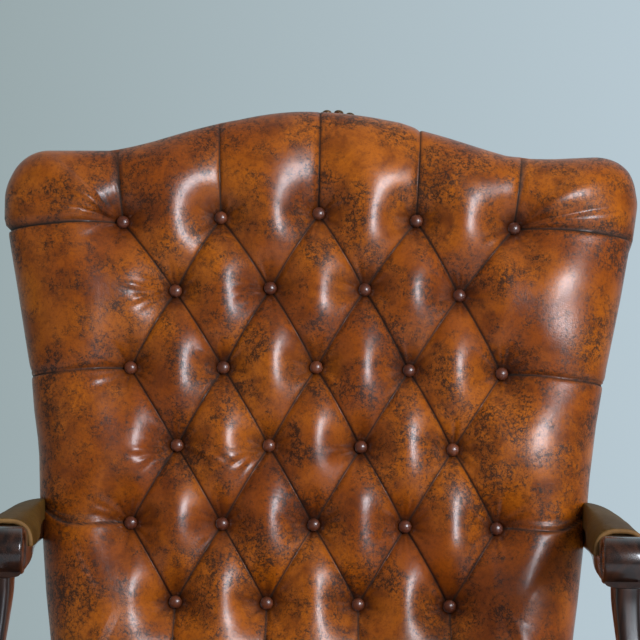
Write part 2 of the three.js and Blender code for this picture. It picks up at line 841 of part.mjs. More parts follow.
// A leather welt closes the front end of the armrest.
function makeArmWelt(name, side) {
  const ahead = armFront + fit + weltRadius;
  const { x, half, top } = armPadSection(armFront);
  const base = armRailTop + fit;
  const steps = 14;
  const sides = 6;
  const rings = [];
  for (let j = 0; j <= steps; j++) {
    const angle = (Math.PI * j) / steps;
    const outward = new THREE.Vector3(side * Math.cos(angle), 0, Math.sin(angle));
    const centre = new THREE.Vector3(
      side * (x + (half - weltRadius) * Math.cos(angle)),
      -ahead,
      base + (top - base - weltRadius) * Math.sin(angle),
    );
    rings.push(roundedRing(centre, outward, forwards, weltRadius, weltRadius, 2, sides));
  }
  add(chair, name, loft(rings), weltLeather);
}

const shoulderY = armFront + (weltRadius + fit) * 2;
const scrollAhead = armFront + scrollReach;
const scrollTop = armTop - weltRadius - fit * 4;
const scrollHeight = scrollTop - scrollRadius;
const armRailBottom = armRailTop - armRailDepth;

// The turned end of the arm: a drum lying across the arm with a moulded face each side.
function armScroll(side) {
  const faceShares = [
    [0, 0.9],
    [0.26, 0.9],
    [0.34, 0.74],
    [0.66, 0.74],
    [0.76, 1],
    [0.93, 1],
    [1, 0.9],
  ];
  const near = faceShares.map(
    ([radius, width]) => new THREE.Vector2(scrollRadius * radius, -scrollHalfWidth * width),
  );
  const far = near.map((point) => new THREE.Vector2(point.x, -point.y)).reverse();
  const drum = new THREE.LatheGeometry([...near, ...far], 18);
  drum.rotateZ(Math.PI / 2);
  return drum.translate(side * armLineX, -scrollAhead, scrollHeight);
}

// The polished arm rail: a tapering bar under the armrest that swells to a shoulder in
// front of it and flows into the scroll.
function makeArmRail(name, side) {
  const rearHalf = railThickness / 2 - fit;
  const frontHalfShare = 0.75;
  const boxPower = 5;
  const sides = 12;
  const rearEnd = -onBack(0, armSeatUp, -frameThickness / 2).y - armRailLap;
  const ringAt = (ahead, x, half, top) => {
    const centre = new THREE.Vector3(side * x, -ahead, (top + armRailBottom) / 2);
    const halfHeight = (top - armRailBottom) / 2;
    return roundedRing(centre, sideways, upwards, half, halfHeight, boxPower, sides);
  };
  const rearX = armRearInnerX + rearHalf;
  const rings = [ringAt(rearEnd, rearX, rearHalf, armRailTop)];
  const stationShares = [0, 0.2, 0.4, 0.6, 0.8, 1];
  for (const station of stationShares) {
    const share = smooth(station);
    const half = THREE.MathUtils.lerp(rearHalf, armPadHalfWidth * frontHalfShare, share);
    const x = THREE.MathUtils.lerp(rearX, armLineX, share);
    rings.push(ringAt(shoulderY * station, x, half, armRailTop));
  }
  const shoulderShare = 0.95;
  const shoulderHalf = scrollHalfWidth * shoulderShare;
  const reach = scrollAhead - shoulderY;
  const swellShares = [
    [0, scrollTop - weltRadius],
    [0.35, scrollTop - weltRadius * 2],
    [0.7, scrollTop - weltRadius],
    [1, scrollTop - fit],
  ];
  for (const [share, top] of swellShares) {
    rings.push(ringAt(shoulderY + reach * share, armLineX, shoulderHalf, top));
  }
  rings.push(ringAt(scrollAhead + scrollRadius / 2, armLineX, shoulderHalf, scrollHeight));
  const bar = loft(rings);
  add(chair, name, joined([bar, armScroll(side)]), polishedWood);
}

// The front support laps the outside of the seat rail and curves up under the scroll.
function makeArmSupport(name, side) {
  const lapX = railOuterX(supportFoot) + borderThickness + fit * 3 + supportThickness / 2;
  const slant = Math.atan2(seatFrontHalfWidth - seatRearHalfWidth, blockRear);
  const outward = new THREE.Vector3(side * Math.cos(slant), Math.sin(slant), 0);
  const along = new THREE.Vector3(side * Math.sin(slant), -Math.cos(slant), 0);
  const low = railTop - supportLap;
  const rise = armRailBottom - fit - railTop;
  const topAhead = scrollAhead - weltRadius;
  const halfWidth = supportWidth / 2;
  const halfThickness = supportThickness / 2;
  // Shares: height above the rail, way across to the arm line, sway forward, width, thickness
  const stationShares = [
    [0, 0, 0, 1, 1],
    [0.12, 0, 0.1, 0.95, 1],
    [0.28, 0.1, 0.3, 0.78, 0.9],
    [0.45, 0.3, 0.42, 0.66, 0.82],
    [0.62, 0.6, 0.38, 0.62, 0.8],
    [0.8, 0.88, 0.2, 0.7, 0.86],
    [0.93, 1, 0.05, 0.86, 0.96],
    [1, 1, 0, 0.95, 1],
  ];
  const sway = supportWidth;
  const boxPower = 4;
  const sides = 12;
  const ringAt = (height, x, ahead, widthShare, thicknessShare) =>
    roundedRing(
      new THREE.Vector3(side * x, -ahead, height),
      outward,
      along,
      halfThickness * thicknessShare,
      halfWidth * widthShare,
      boxPower,
      sides,
    );
  const footShare = 0.85;
  const rings = [
    ringAt(low, lapX, supportFoot, footShare, 1),
    ringAt(low + borderOverhang * 2, lapX, supportFoot, 1, 1),
  ];
  for (const [heightShare, acrossShare, swayShare, widthShare, thickShare] of stationShares) {
    const x = THREE.MathUtils.lerp(lapX, armLineX, acrossShare);
    const ahead = THREE.MathUtils.lerp(supportFoot, topAhead, heightShare) + sway * swayShare;
    rings.push(ringAt(railTop + rise * heightShare, x, ahead, widthShare, thickShare));
  }
  add(chair, name, loft(rings), polishedWood);
}

// The cushion stays clear of the arm supports on both sides.
const cushionFrontHalfWidth = railOuterX(cushionFront) - cushionSideGap;
const cushionRearHalfWidth = railOuterX(cushionRear) - cushionSideGap;

// The cushion's outline with round corners, as points and their outward directions.
function cushionOutline() {
  const radius = cushionCornerRadius;
  const corners = [
    { x: cushionFrontHalfWidth, y: -cushionFront, turn: -Math.PI / 2 },
    { x: cushionRearHalfWidth, y: -cushionRear, turn: 0 },
    { x: -cushionRearHalfWidth, y: -cushionRear, turn: Math.PI / 2 },
    { x: -cushionFrontHalfWidth, y: -cushionFront, turn: Math.PI },
  ];
  const arcSteps = 4;
  const edgeSteps = 6;
  const outline = [];
  corners.forEach(({ x, y, turn }, i) => {
    const centre = new THREE.Vector2(x - Math.sign(x) * radius, y < -cushionRear ? y + radius : y - radius);
    for (let k = 0; k <= arcSteps; k++) {
      const angle = turn + ((Math.PI / 2) * k) / arcSteps;
      const normal = new THREE.Vector2(Math.cos(angle), Math.sin(angle));
      outline.push({ at: centre.clone().addScaledVector(normal, radius), normal, slack: 0 });
    }
    const next = corners[(i + 1) % corners.length];
    const nextCentre = new THREE.Vector2(
      next.x - Math.sign(next.x) * radius,
      next.y < -cushionRear ? next.y + radius : next.y - radius,
    );
    const angle = turn + Math.PI / 2;
    const normal = new THREE.Vector2(Math.cos(angle), Math.sin(angle));
    for (let k = 1; k < edgeSteps; k++) {
      const share = k / edgeSteps;
      const at = centre.clone().lerp(nextCentre, share).addScaledVector(normal, radius);
      outline.push({ at, normal, slack: Math.sin(Math.PI * share) });
    }
  });
  return outline;
}

function makeCushion() {
  const outline = cushionOutline();
  const bottom = deckTop + fit;
  const middle = new THREE.Vector3(0, -(cushionFront + cushionRear) / 2, 0);
  const ringAt = (height, inset, drawIn) =>
    outline.map(({ at, normal, slack }) => {
      const inwards = inset + drawIn * slack;
      return new THREE.Vector3(at.x - normal.x * inwards, at.y - normal.y * inwards, height);
    });
  const seam = cushionBorder / 16;
  const rings = [
    ringAt(bottom, seam * 3, 0),
    ringAt(bottom + seam, 0, cushionDrawIn),
    ringAt(bottom + cushionBorder / 3, 0, cushionDrawIn / 2),
    ringAt(bottom + (cushionBorder * 2) / 3, 0, cushionDrawIn / 2),
    ringAt(bottom + cushionBorder - seam, 0, cushionDrawIn),
    ringAt(bottom + cushionBorder, seam * 3, cushionDrawIn),
  ];
  // The crown's rings round off from the seam's outline to an oval in the middle.
  const rim = rings.at(-1);
  const crownShares = [0.93, 0.82, 0.66, 0.46, 0.24];
  const ovalHalfX = (cushionFrontHalfWidth + cushionRearHalfWidth) / 2;
  const ovalHalfY = (cushionFront - cushionRear) / 2;
  for (const share of crownShares) {
    const height = bottom + cushionBorder + cushionCrown * (1 - share ** 2.2);
    rings.push(
      rim.map((point) => {
        const angle = Math.atan2((point.y - middle.y) / ovalHalfY, point.x / ovalHalfX);
        const oval = new THREE.Vector3(
          Math.cos(angle) * ovalHalfX,
          middle.y + Math.sin(angle) * ovalHalfY,
          height,
        );
        return oval.lerp(point, share).sub(middle).multiplyScalar(share).add(middle).setZ(height);
      }),
    );
  }
  add(chair, "seat_cushion", loft(rings), leather);
}

for (const [hand, side] of [["right", 1], ["left", -1]]) {
  makePost(`back_post_${hand}`, side);
  makeSideRail(`seat_rail_${hand}`, side);
  makeCornerBlock(`corner_block_${hand}`, side);
  makeFrontLeg(`front_leg_${hand}`, side);
  makeArmRail(`arm_rail_${hand}`, side);
  makeArmPad(`arm_pad_${hand}`, side);
  makeArmWelt(`arm_welt_${hand}`, side);
  makeArmSupport(`arm_support_${hand}`, side);
}
makeFrontRail();
makeCrossRail("seat_rail_rear", outsideBottom, outsideBottom + railHeight);
makeCrossRail("back_base_rail", backBottom + fit, backBottom + railHeight);
makeCrestRail();
makeWebbing();
makeOutsideBack();
makeBackPad();
makeButtons();
makeSeatDeck();
makeSeatBorder();
makeDustCover();
for (let i = 0; i < springCount; i++) {
  const spacing = ((braceInnerX - springSideGap) * 2 - springLoopWidth) / (springCount - 1);
  makeSpring(`seat_spring_${i + 1}`, spacing * (i - (springCount - 1) / 2));
}
makeCushion();

// Stand the chair with the middle of its length over the origin.
const extent = new THREE.Box3().setFromObject(chair);
chair.position.y = -(extent.min.y + extent.max.y) / 2;

export default chair;
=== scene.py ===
import math

import bmesh
import bpy
import numpy as np
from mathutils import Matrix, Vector


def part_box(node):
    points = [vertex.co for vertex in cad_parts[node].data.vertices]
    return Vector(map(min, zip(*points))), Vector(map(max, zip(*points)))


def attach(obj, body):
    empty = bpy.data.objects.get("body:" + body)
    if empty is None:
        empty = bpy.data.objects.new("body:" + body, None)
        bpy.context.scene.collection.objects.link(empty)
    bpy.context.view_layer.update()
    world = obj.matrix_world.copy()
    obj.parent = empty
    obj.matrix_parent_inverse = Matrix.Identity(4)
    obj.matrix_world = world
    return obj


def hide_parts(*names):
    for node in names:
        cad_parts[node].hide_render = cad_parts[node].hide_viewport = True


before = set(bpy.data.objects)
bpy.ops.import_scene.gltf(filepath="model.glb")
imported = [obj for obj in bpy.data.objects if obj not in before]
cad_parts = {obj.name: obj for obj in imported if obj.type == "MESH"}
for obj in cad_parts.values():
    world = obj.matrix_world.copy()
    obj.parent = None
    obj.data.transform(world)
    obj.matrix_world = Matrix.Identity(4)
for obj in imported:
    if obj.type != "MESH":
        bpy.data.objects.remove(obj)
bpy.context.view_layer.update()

# Camera. The photograph looks level and square at the chair from in front, from about
# three metres, at the height of the middle of the back, and leans by a hair.
# The pivot line, from which the back leans, is found from the front rail and the deck.
MM = 0.001
PHOTO_SIDE = 640
pivot_behind_rail = 539.7 * MM
pivot_below_deck = 15.3 * MM
pivot_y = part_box("seat_rail_front")[0].y + pivot_behind_rail
pivot_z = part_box("seat_deck")[0].z - pivot_below_deck
camera_distance = 2928 * MM
camera_height = 850 * MM
focal_pixels = 2727
sensor_width = 36
camera_lean = math.radians(-0.95)
centre_pixel = 317

camera_data = bpy.data.cameras.new("camera")
camera_data.sensor_width = sensor_width
camera_data.lens = focal_pixels / PHOTO_SIDE * sensor_width
camera_data.shift_x = (PHOTO_SIDE / 2 - centre_pixel) / PHOTO_SIDE
camera = bpy.data.objects.new("camera", camera_data)
camera.location = (0, pivot_y - camera_distance, camera_height)
camera.rotation_euler = (math.pi / 2, camera_lean, 0)
bpy.context.scene.collection.objects.link(camera)
bpy.context.scene.camera = camera
bpy.context.scene.view_settings.view_transform = "Standard"


# Studio. A plain pale floor, a blue-grey wall that only the camera and the reflections see,
# the window high on the right that the hide mirrors, and soft lamps that light the chair.
class Value:
    """A socket in shader maths: an expression on values adds its Math nodes."""

    def __init__(self, finish, socket):
        self.finish = finish
        self.socket = socket

    def maths(self, operation, *terms, clamp=False):
        settings = {"operation": operation, "use_clamp": clamp}
        return self.finish.add("ShaderNodeMath", settings, dict(enumerate(terms)))

    def __add__(self, other):
        return self.maths("ADD", self, other)

    def __sub__(self, other):
        return self.maths("SUBTRACT", self, other)

    def __mul__(self, other):
        return self.maths("MULTIPLY", self, other)

    def __rsub__(self, other):
        return self.maths("SUBTRACT", other, self)

    __radd__ = __add__
    __rmul__ = __mul__

    def clipped(self):
        return self.maths("ADD", self, 0, clamp=True)

    def stretched(self, low, high):
        """0 below low and 1 above high, smoothly between them."""
        settings = {"interpolation_type": "SMOOTHSTEP", "clamp": True}
        sockets = {"Value": self, "From Min": low, "From Max": high}
        return self.finish.add("ShaderNodeMapRange", settings, sockets)


class Finish:
    """A material or world being written. add makes any node and hands back an output."""

    def __init__(self, written):
        written.use_nodes = True
        self.written = written
        self.tree = written.node_tree
        self.tree.nodes.clear()

    def add(self, kind, settings=None, sockets=None, output=0):
        node = self.tree.nodes.new(kind)
        for name, setting in (settings or {}).items():
            setattr(node, name, setting)
        for name, given in (sockets or {}).items():
            socket = node.inputs[name]
            if isinstance(given, Value):
                self.tree.links.new(given.socket, socket)
            elif isinstance(given, tuple) and socket.type == "RGBA":
                socket.default_value = (*given, 1)
            else:
                socket.default_value = given
        return Value(self, node.outputs[output])

    def place(self, scale=(1, 1, 1), turn=(0, 0, 0)):
        """Where a point lies on the piece, in metres from the chair's origin."""
        at = self.add("ShaderNodeTexCoord", output="Object")
        if scale == (1, 1, 1) and turn == (0, 0, 0):
            return at
        return self.add("ShaderNodeMapping", None, {"Vector": at, "Scale": scale, "Rotation": turn})

    def noise(self, scale, detail=3, roughness=0.5, distortion=0, vector=None, output="Fac"):
        sockets = {"Scale": scale, "Detail": detail, "Roughness": roughness, "Distortion": distortion}
        sockets["Vector"] = vector or self.place()
        return self.add("ShaderNodeTexNoise", None, sockets, output)

    def mix(self, share, colour, other):
        sockets = {0: share, 6: colour, 7: other}
        return self.add("ShaderNodeMix", {"data_type": "RGBA"}, sockets, output=2)

    def bump(self, height, distance, strength=1.0, normal=None):
        sockets = {"Height": height, "Distance": distance, "Strength": strength}
        if normal:
            sockets["Normal"] = normal
        return self.add("ShaderNodeBump", None, sockets)

    def close(self, **sockets):
        """Ends the material with a Principled shader. A socket's name has _ for a space."""
        named = {name.replace("_", " "): given for name, given in sockets.items()}
        shader = self.add("ShaderNodeBsdfPrincipled", None, named)
        output = self.tree.nodes.new("ShaderNodeOutputMaterial")
        self.tree.links.new(shader.socket, output.inputs["Surface"])
        return self.written


wall_left = (0.31, 0.38, 0.39)
wall_right = (0.49, 0.595, 0.66)
floor_colour = (0.52, 0.585, 0.62)
floor_shade = 0.96
room_colour = (0.8, 0.88, 1.0)
room_strength = 0.27
room_dimness = 0.12
wall_turn = 0.14
lamp_aim_height = 0.8
# Each lamp: its place in metres from the pivot line and the floor, its size, watts and
# colour, and True where polished pieces mirror it, as they do the photograph's window,
# instead of being lit by it.
lamps = {
    "window_glint": ((1.35, -2.5, 1.72), (0.9, 0.95), 78, (0.84, 0.91, 1.0), True),
    "window_right": ((1.6, -2.4, 1.8), (1.2, 1.2), 70, (0.97, 0.96, 1.0), False),
    "fill_left": ((-2.6, -1.6, 1.5), (2.0, 2.0), 8, (0.9, 0.95, 1.0), False),
    "ceiling": ((0.2, -0.4, 3.2), (2.2, 2.2), 14, (1.0, 0.99, 0.97), False),
}
floor_radius = 3.4


def make_floor():
    finish = Finish(bpy.data.materials.new("pale_floor"))
    cloud = finish.noise(3, 2)
    tone = finish.mix(cloud, floor_colour, tuple(c * floor_shade for c in floor_colour))
    mesh = bpy.data.meshes.new("floor")
    sides = 96
    ring = [(math.cos(k * math.tau / sides), math.sin(k * math.tau / sides)) for k in range(sides)]
    mesh.from_pydata([(x * floor_radius, y * floor_radius, 0) for x, y in ring], [], [range(sides)])
    mesh.materials.append(finish.close(Base_Color=tone, Roughness=0.9, Specular_IOR_Level=0.05))
    floor = bpy.data.objects.new("floor", mesh)
    bpy.context.scene.collection.objects.link(floor)


def make_surround():
    """The room: what lights the chair, and the pale wall that the camera and polished
    pieces see round it, darker to the left and lighter to the right, as in the photograph."""
    world = bpy.data.worlds.new("surround")
    finish = Finish(world)

    def larger(one, other):
        return one.maths("MAXIMUM", one, other)

    def ray(kind):
        return finish.add("ShaderNodeLightPath", output=f"Is {kind} Ray")

    def ramp(axis, low, high, start=0):
        """From start to 1 while the way looked along an axis goes from low to high."""
        way = finish.add("ShaderNodeTexCoord", output="Generated")
        along = finish.add("ShaderNodeSeparateXYZ", None, {"Vector": way}, axis)
        sockets = {"Value": along, "From Min": low, "From Max": high, "To Min": start}
        return finish.add("ShaderNodeMapRange", None, sockets)

    wall_colour = finish.mix(ramp("X", -wall_turn, wall_turn), wall_left, wall_right)
    # The side of the room that the chair faces is dim, so that is what the hide mirrors.
    bright = larger(ray("Camera"), ramp("Y", -0.1, 0.5, room_dimness))
    seen = larger(larger(ray("Camera"), ray("Glossy")), ray("Transmission"))
    kind = "ShaderNodeBackground"
    room = finish.add(kind, None, {"Color": room_colour, "Strength": room_strength})
    wall = finish.add(kind, None, {"Color": wall_colour, "Strength": bright})
    blend = finish.add("ShaderNodeMixShader", None, {0: seen, 1: room, 2: wall})
    output = finish.tree.nodes.new("ShaderNodeOutputWorld")
    finish.tree.links.new(blend.socket, output.inputs["Surface"])
    bpy.context.scene.world = world


def make_lamp(name, place, size, watts, colour, mirrored):
    """A soft rectangular light that faces the middle of the back."""
    light = bpy.data.lights.new(name, "AREA")
    light.shape = "RECTANGLE"
    light.size, light.size_y = size
    light.energy = watts
    light.color = colour
    lamp = bpy.data.objects.new(name, light)
    x, y, z = place
    lamp.location = (x, pivot_y + y, z)
    aim = Vector((-x, -y, lamp_aim_height - z))
    lamp.rotation_euler = aim.to_track_quat("-Z", "Y").to_euler()
    lamp.visible_glossy = mirrored
    lamp.visible_diffuse = not mirrored
    bpy.context.scene.collection.objects.link(lamp)


make_floor()
make_surround()
for name, about in lamps.items():
    make_lamp(name, *about)


# Inside back. One hide of antiqued leather is drawn over hair and wadding and buttoned
# down in diamonds. Its fullness is folded into pleats, which run on straight over the
# crest and round the sides, where the hide is tacked behind the roll.
recline = math.radians(9)
back_bottom = 30 * MM
shoulder_height = 635 * MM
waist_half_width = 270 * MM
shoulder_half_width = 345.5 * MM
ear_reach = 46 * MM
ear_rise = 52.5 * MM
crest_rise = 49.5 * MM
crest_reach = 235 * MM
side_power = 1.45
crest_power = 1.5
button_rows = 6
reach_steps = 4
row_pitch = 84.5 * MM
top_row_pitch = 77 * MM
low_row_height = 192.5 * MM
low_pitch = 97.5 * MM
pitch_spread = 10 * MM
arch_rise = 13 * MM
# What is left, one row lower, of the top row's wider spacing and of its arch.
pitch_left = 0.6
arch_left = 0.5
pad_edge = 8 * MM
pad_rear = 2.6 * MM
pad_roll = 88 * MM
crest_roll = 108 * MM
seat_level = 23.4 * MM
field_crown = 5 * MM
pit_depth = 21 * MM
pit_spread = 18 * MM
pit_floor = 6 * MM
pillow_rise = 15 * MM
pillow_power = 0.95
panel_crown = 4 * MM
crest_face = 56 * MM
side_face = 58 * MM
valley_depth = 9.5 * MM
valley_edge_depth = 1.3 * MM
rim_blend = 42 * MM
calm_width = 30 * MM
hand_waviness = 0.8 * MM
hand_wave = 90 * MM
cells_per_step = 48
rim_steps = 26
roll_steps = 22
# Pleats fan out: they meet the outline this much further from the middle than they start.
fan_share = 1.04
# Rays from a top corner button run to the crest, round the ear and to the side, in these
# shares. Those from a bottom corner button run to the side and then to the foot.
ear_rays = 44
ear_crest_part, ear_round_part, ear_side_part = 0.18, 0.7, 0.12
heel_rays = 40
heel_side_part, heel_foot_part = 0.6, 0.4
# The side's drawn edge is followed from these shares of the half width, the crest's from
# these heights.
side_edge = (0.78, 0.97)
crest_edge = (600 * MM, 680 * MM)
side_fold_bows = (0, 1 * MM, 13 * MM)
over_folds = ((4.5 * MM, 0.8), (9.5 * MM, 0.75))
side_fold_past = 4 * MM
side_fold_lowest = -10 * MM
side_fold_climb = 26 * MM
pucker_span = (6 * MM, 13 * MM)
pucker_fade = (18 * MM, 42 * MM)
pucker_rise = 0.55 * MM
# Where the painted shade and dirt round each button begin, and how far they reach.
pit_shade_and_grime_start = 6 * MM
pit_shade_and_grime_reach = 13 * MM
streak_span = (8 * MM, 16 * MM)
drag_wobble = 2.5 * MM
edge_tuck = 1.5 * MM


def on_back(across, up, out):
    """Points of the leaning back, as an array of places in the chair's axes."""
    y = pivot_y + up * math.sin(recline) - out * math.cos(recline)
    z = pivot_z + up * math.cos(recline) + out * math.sin(recline)
    return np.stack([across, y, z], axis=-1)


def smoothstep(low, high, x):
    share = np.clip((x - low) / (high - low), 0, 1)
    return share * share * (3 - 2 * share)


def back_half_width(up):
    rise = np.clip((up - back_bottom) / (shoulder_height - back_bottom), 0, 1)
    return waist_half_width + (shoulder_half_width - waist_half_width) * rise**side_power


def crest_height(across):
    hump = np.clip(1 - (across / crest_reach) ** 2, 0, 1) ** crest_power
    return shoulder_height + ear_rise + crest_rise * hump


# How far the hide stands out past the outline, as the photograph shows it, in millimetres:
# places up the right and left sides, then places across the crest.
right_side_up = (30, 200, 290, 335, 392, 436, 440, 455, 535, 585, 592, 598, 648, 670, 690)
right_side_out = (0, 5, 5, 2, 1, 2.5, 4, 3.2, 6, 6.7, 8, 9, 7, 9, 8)
left_side_up = (30, 200, 300, 350, 400, 450, 530, 580, 600, 606, 612, 634, 660, 690)
left_side_out = (0, 6, 5, 0.5, -0.8, 0.4, 2.2, 4, 4.4, 6.4, 6.5, 2.8, 0.8, 1.2)
crest_across = (-325, -260, -220, -184, -112, -89, -30, 2, 38, 71, 90, 117, 175, 207, 222, 260, 325)
crest_lift = (2, 3.4, 4.2, 3, 3.5, 2.4, 2.9, 2.6, 1.2, 1, 1.6, -0.7, -0.7, 0, 2.6, 2.4, 6.5)


def drawn_outline(end):
    """A place on the outline, moved to where the hide's edge really is."""
    across, up = end
    places, outs = (right_side_up, right_side_out) if across > 0 else (left_side_up, left_side_out)
    beside = smoothstep(*side_edge, abs(across) / back_half_width(up))
    out = np.interp(up / MM, places, outs) * MM * beside
    lift = np.interp(across / MM, crest_across, crest_lift) * MM * smoothstep(*crest_edge, up)
    return across + math.copysign(out, across), up + lift


def tuft(across, down):
    """Flat place of a point of the buttoning, in half diamonds across and rows down."""
    half_pitch = (low_pitch + pitch_spread * pitch_left**down) / 2
    rows_up = button_rows - 1 - np.maximum(down, 1)
    arch = arch_rise * arch_left**down * (1 + np.cos(np.pi * across / reach_steps)) / 2
    up = low_row_height + rows_up * row_pitch + np.maximum(1 - down, 0) * top_row_pitch + arch
    return np.stack([across * half_pitch, up], axis=-1)


def wander(flat, wavelength, seed):
    """Smooth pseudo-random values from -1 to 1 over flat places."""
    draw = np.random.default_rng(seed)
    total = np.zeros(flat.shape[:-1])
    waves = 9
    for _ in range(waves):
        angle, phase = draw.uniform(0, math.tau, 2)
        wave = math.tau / (wavelength * draw.uniform(0.7, 1.6))
        run = flat[..., 0] * math.cos(angle) + flat[..., 1] * math.sin(angle)
        total += np.sin(run * wave + phase)
    return total / math.sqrt(waves)


def button_places():
    return [
        tuft(float(step), float(row))
        for row in range(button_rows)
        for step in range(-reach_steps + row % 2, reach_steps + 1, 2)
    ]


def crown_at(across, down):
    beside = np.cos(np.pi * across / (2 * reach_steps + 2))
    return field_crown * beside * np.sin(np.pi * (down + 1) / (button_rows + 1))


def field_top(across, down):
    """Height of the buttoned field over the button seats, were no button pulled down."""
    one = np.abs(np.sin(np.pi * (across + down) / 2))
    other = np.abs(np.sin(np.pi * (across - down) / 2))
    return pit_depth + pillow_rise * (one * other) ** pillow_power


def button_pits(flat):
    """0 at a button, and near 1 away from all buttons."""
    total = np.ones(flat.shape[:-1])
    for centre in button_places():
        away = np.linalg.norm(flat - centre, axis=-1)
        total = total * (1 - np.exp(-np.maximum(away - pit_floor, 0) / pit_spread))
    return total


def side_fold_rise(down):
    """How far over its button a side fold meets the outline. Under the arms it climbs."""
    return side_fold_lowest + side_fold_climb * min(max(down / 2 - 1, 0), 1)


def rim_rays():
    """Where each ray leaves the buttoned field, where it meets the outline, and how full
    the leather is there: 0 on a pleat, 1 halfway between two."""
    rays = []

    def ray(across, down, end, full):
        rays.append((across, down, *drawn_outline(end), full))

    columns = np.linspace(-reach_steps, reach_steps, 2 * reach_steps * cells_per_step + 1)
    rows = np.linspace(0, button_rows - 1, (button_rows - 1) * cells_per_step + 1)
    for across in columns:
        reach = tuft(across, 0.0)[0] * fan_share
        ray(across, 0, (reach, crest_height(reach)), abs(math.sin(math.pi * across / 2)))
    ear_inner = shoulder_half_width - ear_reach
    top_button = tuft(float(reach_steps), 0.0)
    corner = []
    for k in range(1, ear_rays):
        share = k / ear_rays
        past_crest = share - ear_crest_part
        past_ear = past_crest - ear_round_part
        if past_crest < 0:
            fan_reach = top_button[0] * fan_share
            across = fan_reach + (ear_inner - fan_reach) * share / ear_crest_part
            end = (across, crest_height(across))
        elif past_ear < 0:
            angle = math.pi / 2 * (1 - past_crest / ear_round_part)
            end = (
                ear_inner + ear_reach * math.cos(angle),
                shoulder_height + ear_rise * math.sin(angle),
            )
        else:
            low = top_button[1] + side_fold_rise(0)
            up = shoulder_height + (low - shoulder_height) * past_ear / ear_side_part
            end = (back_half_width(up), up)
        corner.append((end, math.sin(math.pi * share)))
    side = []
    for down in rows:
        up = tuft(float(reach_steps), down)[1] + side_fold_rise(down)
        side.append((down, (back_half_width(up), up), abs(math.sin(math.pi * down / 2))))
    last = button_rows - 1
    low_side = side[-1][1][1]
    foot_reach = tuft(float(reach_steps), float(last))[0] * fan_share
    heel = []
    heel_width = back_half_width(back_bottom)
    for k in range(1, heel_rays):
        share = k / heel_rays
        past_side = share - heel_side_part
        if past_side < 0:
            up = low_side + (back_bottom - low_side) * share / heel_side_part
            end = (back_half_width(up), up)
        else:
            across = heel_width + (foot_reach - heel_width) * past_side / heel_foot_part
            end = (across, back_bottom)
        heel.append((end, 1.0))
    for end, full in corner:
        ray(reach_steps, 0, end, full)
    for down, end, full in side:
        ray(reach_steps, down, end, full)
    for end, full in heel:
        ray(reach_steps, last, end, full)
    for across in columns[::-1]:
        reach = tuft(across, float(last))[0] * fan_share
        ray(across, last, (reach, back_bottom), abs(math.cos(math.pi * across / 2)))
    for end, full in reversed(heel):
        ray(-reach_steps, last, (-end[0], end[1]), full)
    for down, end, full in reversed(side):
        ray(-reach_steps, down, (-end[0], end[1]), full)
    for end, full in reversed(corner):
        ray(-reach_steps, 0, (-end[0], end[1]), full)
    return np.array(rays)


def pleat_lines():
    """Every fold as (start, end, depth at its start and end, bow, flap): the bow is how far
    it swings off a straight line, and the flap is the side of it, +1 or -1, whose leather
    lies on top."""
    lines = []
    place = {}
    for row in range(button_rows):
        for step in range(-reach_steps + row % 2, reach_steps + 1, 2):
            place[step, row] = tuft(float(step), float(row))
    for (step, row), start in place.items():
        for turn in (-1, 1):
            end = place.get((step + turn, row + 1))
            if end is not None:
                lines.append((start, end, 1.0, 1.0, 0, -turn))
    for step in range(-reach_steps, reach_steps + 1, 2):
        start = place[step, 0]
        reach = start[0] * fan_share
        end = np.array([reach, crest_height(reach)])
        lines.append((start, end, 1.3, 0.9, 0, -1 if step < 0 else 1))
    for row in (0, 2, 4):
        for side in (-1, 1):
            start = place[side * reach_steps, row]
            up = start[1] + side_fold_rise(row)
            end = np.array([side * (back_half_width(up) + side_fold_past), up])
            bow = side_fold_bows[row // 2]
            lines.append((start, end, 1.4, 1.3, bow, side))
            # Lighter folds lie just over these, two of them where the arms crowd the hide.
            for lift, strength in over_folds[:1 + row // 4]:
                over = np.array([0, lift])
                near = start + (end - start) * 0.14 + over * 0.5
                lines.append((near, end + over, 0.15, strength, bow, side))
    for step in range(-reach_steps + 1, reach_steps, 2):
        start = place[step, button_rows - 1]
        end = np.array([start[0] * fan_share, back_bottom])
        lines.append((start, end, 1.0, 0.8, 0, 1))
    return lines


def fold_relief(flat):
    """The narrow creases: depth in metres to take off, and how much darker the leather is painted
    there: painted shade in the fold, together with dirt that gathers in it.
    """
    sink = np.zeros(flat.shape[:-1])
    shade_and_grime = np.zeros(flat.shape[:-1])
    over_width, under_width = 1.5 * MM, 3.4 * MM
    over_drop, under_drop = 1.3 * MM, 3.4 * MM
    line_width, halo_width, halo_share = 0.95 * MM, 3.2 * MM, 0.22
    for start, end, start_depth, end_depth, bow, flap in pleat_lines():
        along = end - start
        length = math.hypot(*along)
        along = along / length
        offset = flat - start
        run = (offset @ along) / length
        across = (offset[..., 0] * along[1] - offset[..., 1] * along[0]) * flap
        share = np.clip(run, 0, 1)
        across = across - bow * np.sin(np.pi * share**1.5)
        depth = start_depth + (end_depth - start_depth) * share
        inside = smoothstep(-0.02, 0.04, run) * (1 - smoothstep(1.0, 1.03, run))
        over = np.exp(-np.abs(across) / over_width) * over_drop
        under = np.exp(-np.abs(across) / under_width) * under_drop
        crease = np.where(across > 0, over, under) * inside * depth
        sink = np.maximum(sink, crease)
        # A thin dark line and a softer halo along each fold: painted shade where the flap overlaps,
        # with dirt that gathers in the fold.
        line = np.exp(-((across / line_width) ** 2))
        line = line + halo_share * np.exp(-((across / halo_width) ** 2))
        shade_and_grime = np.maximum(shade_and_grime, line * inside * np.minimum(depth, 1.15))
    return sink, shade_and_grime


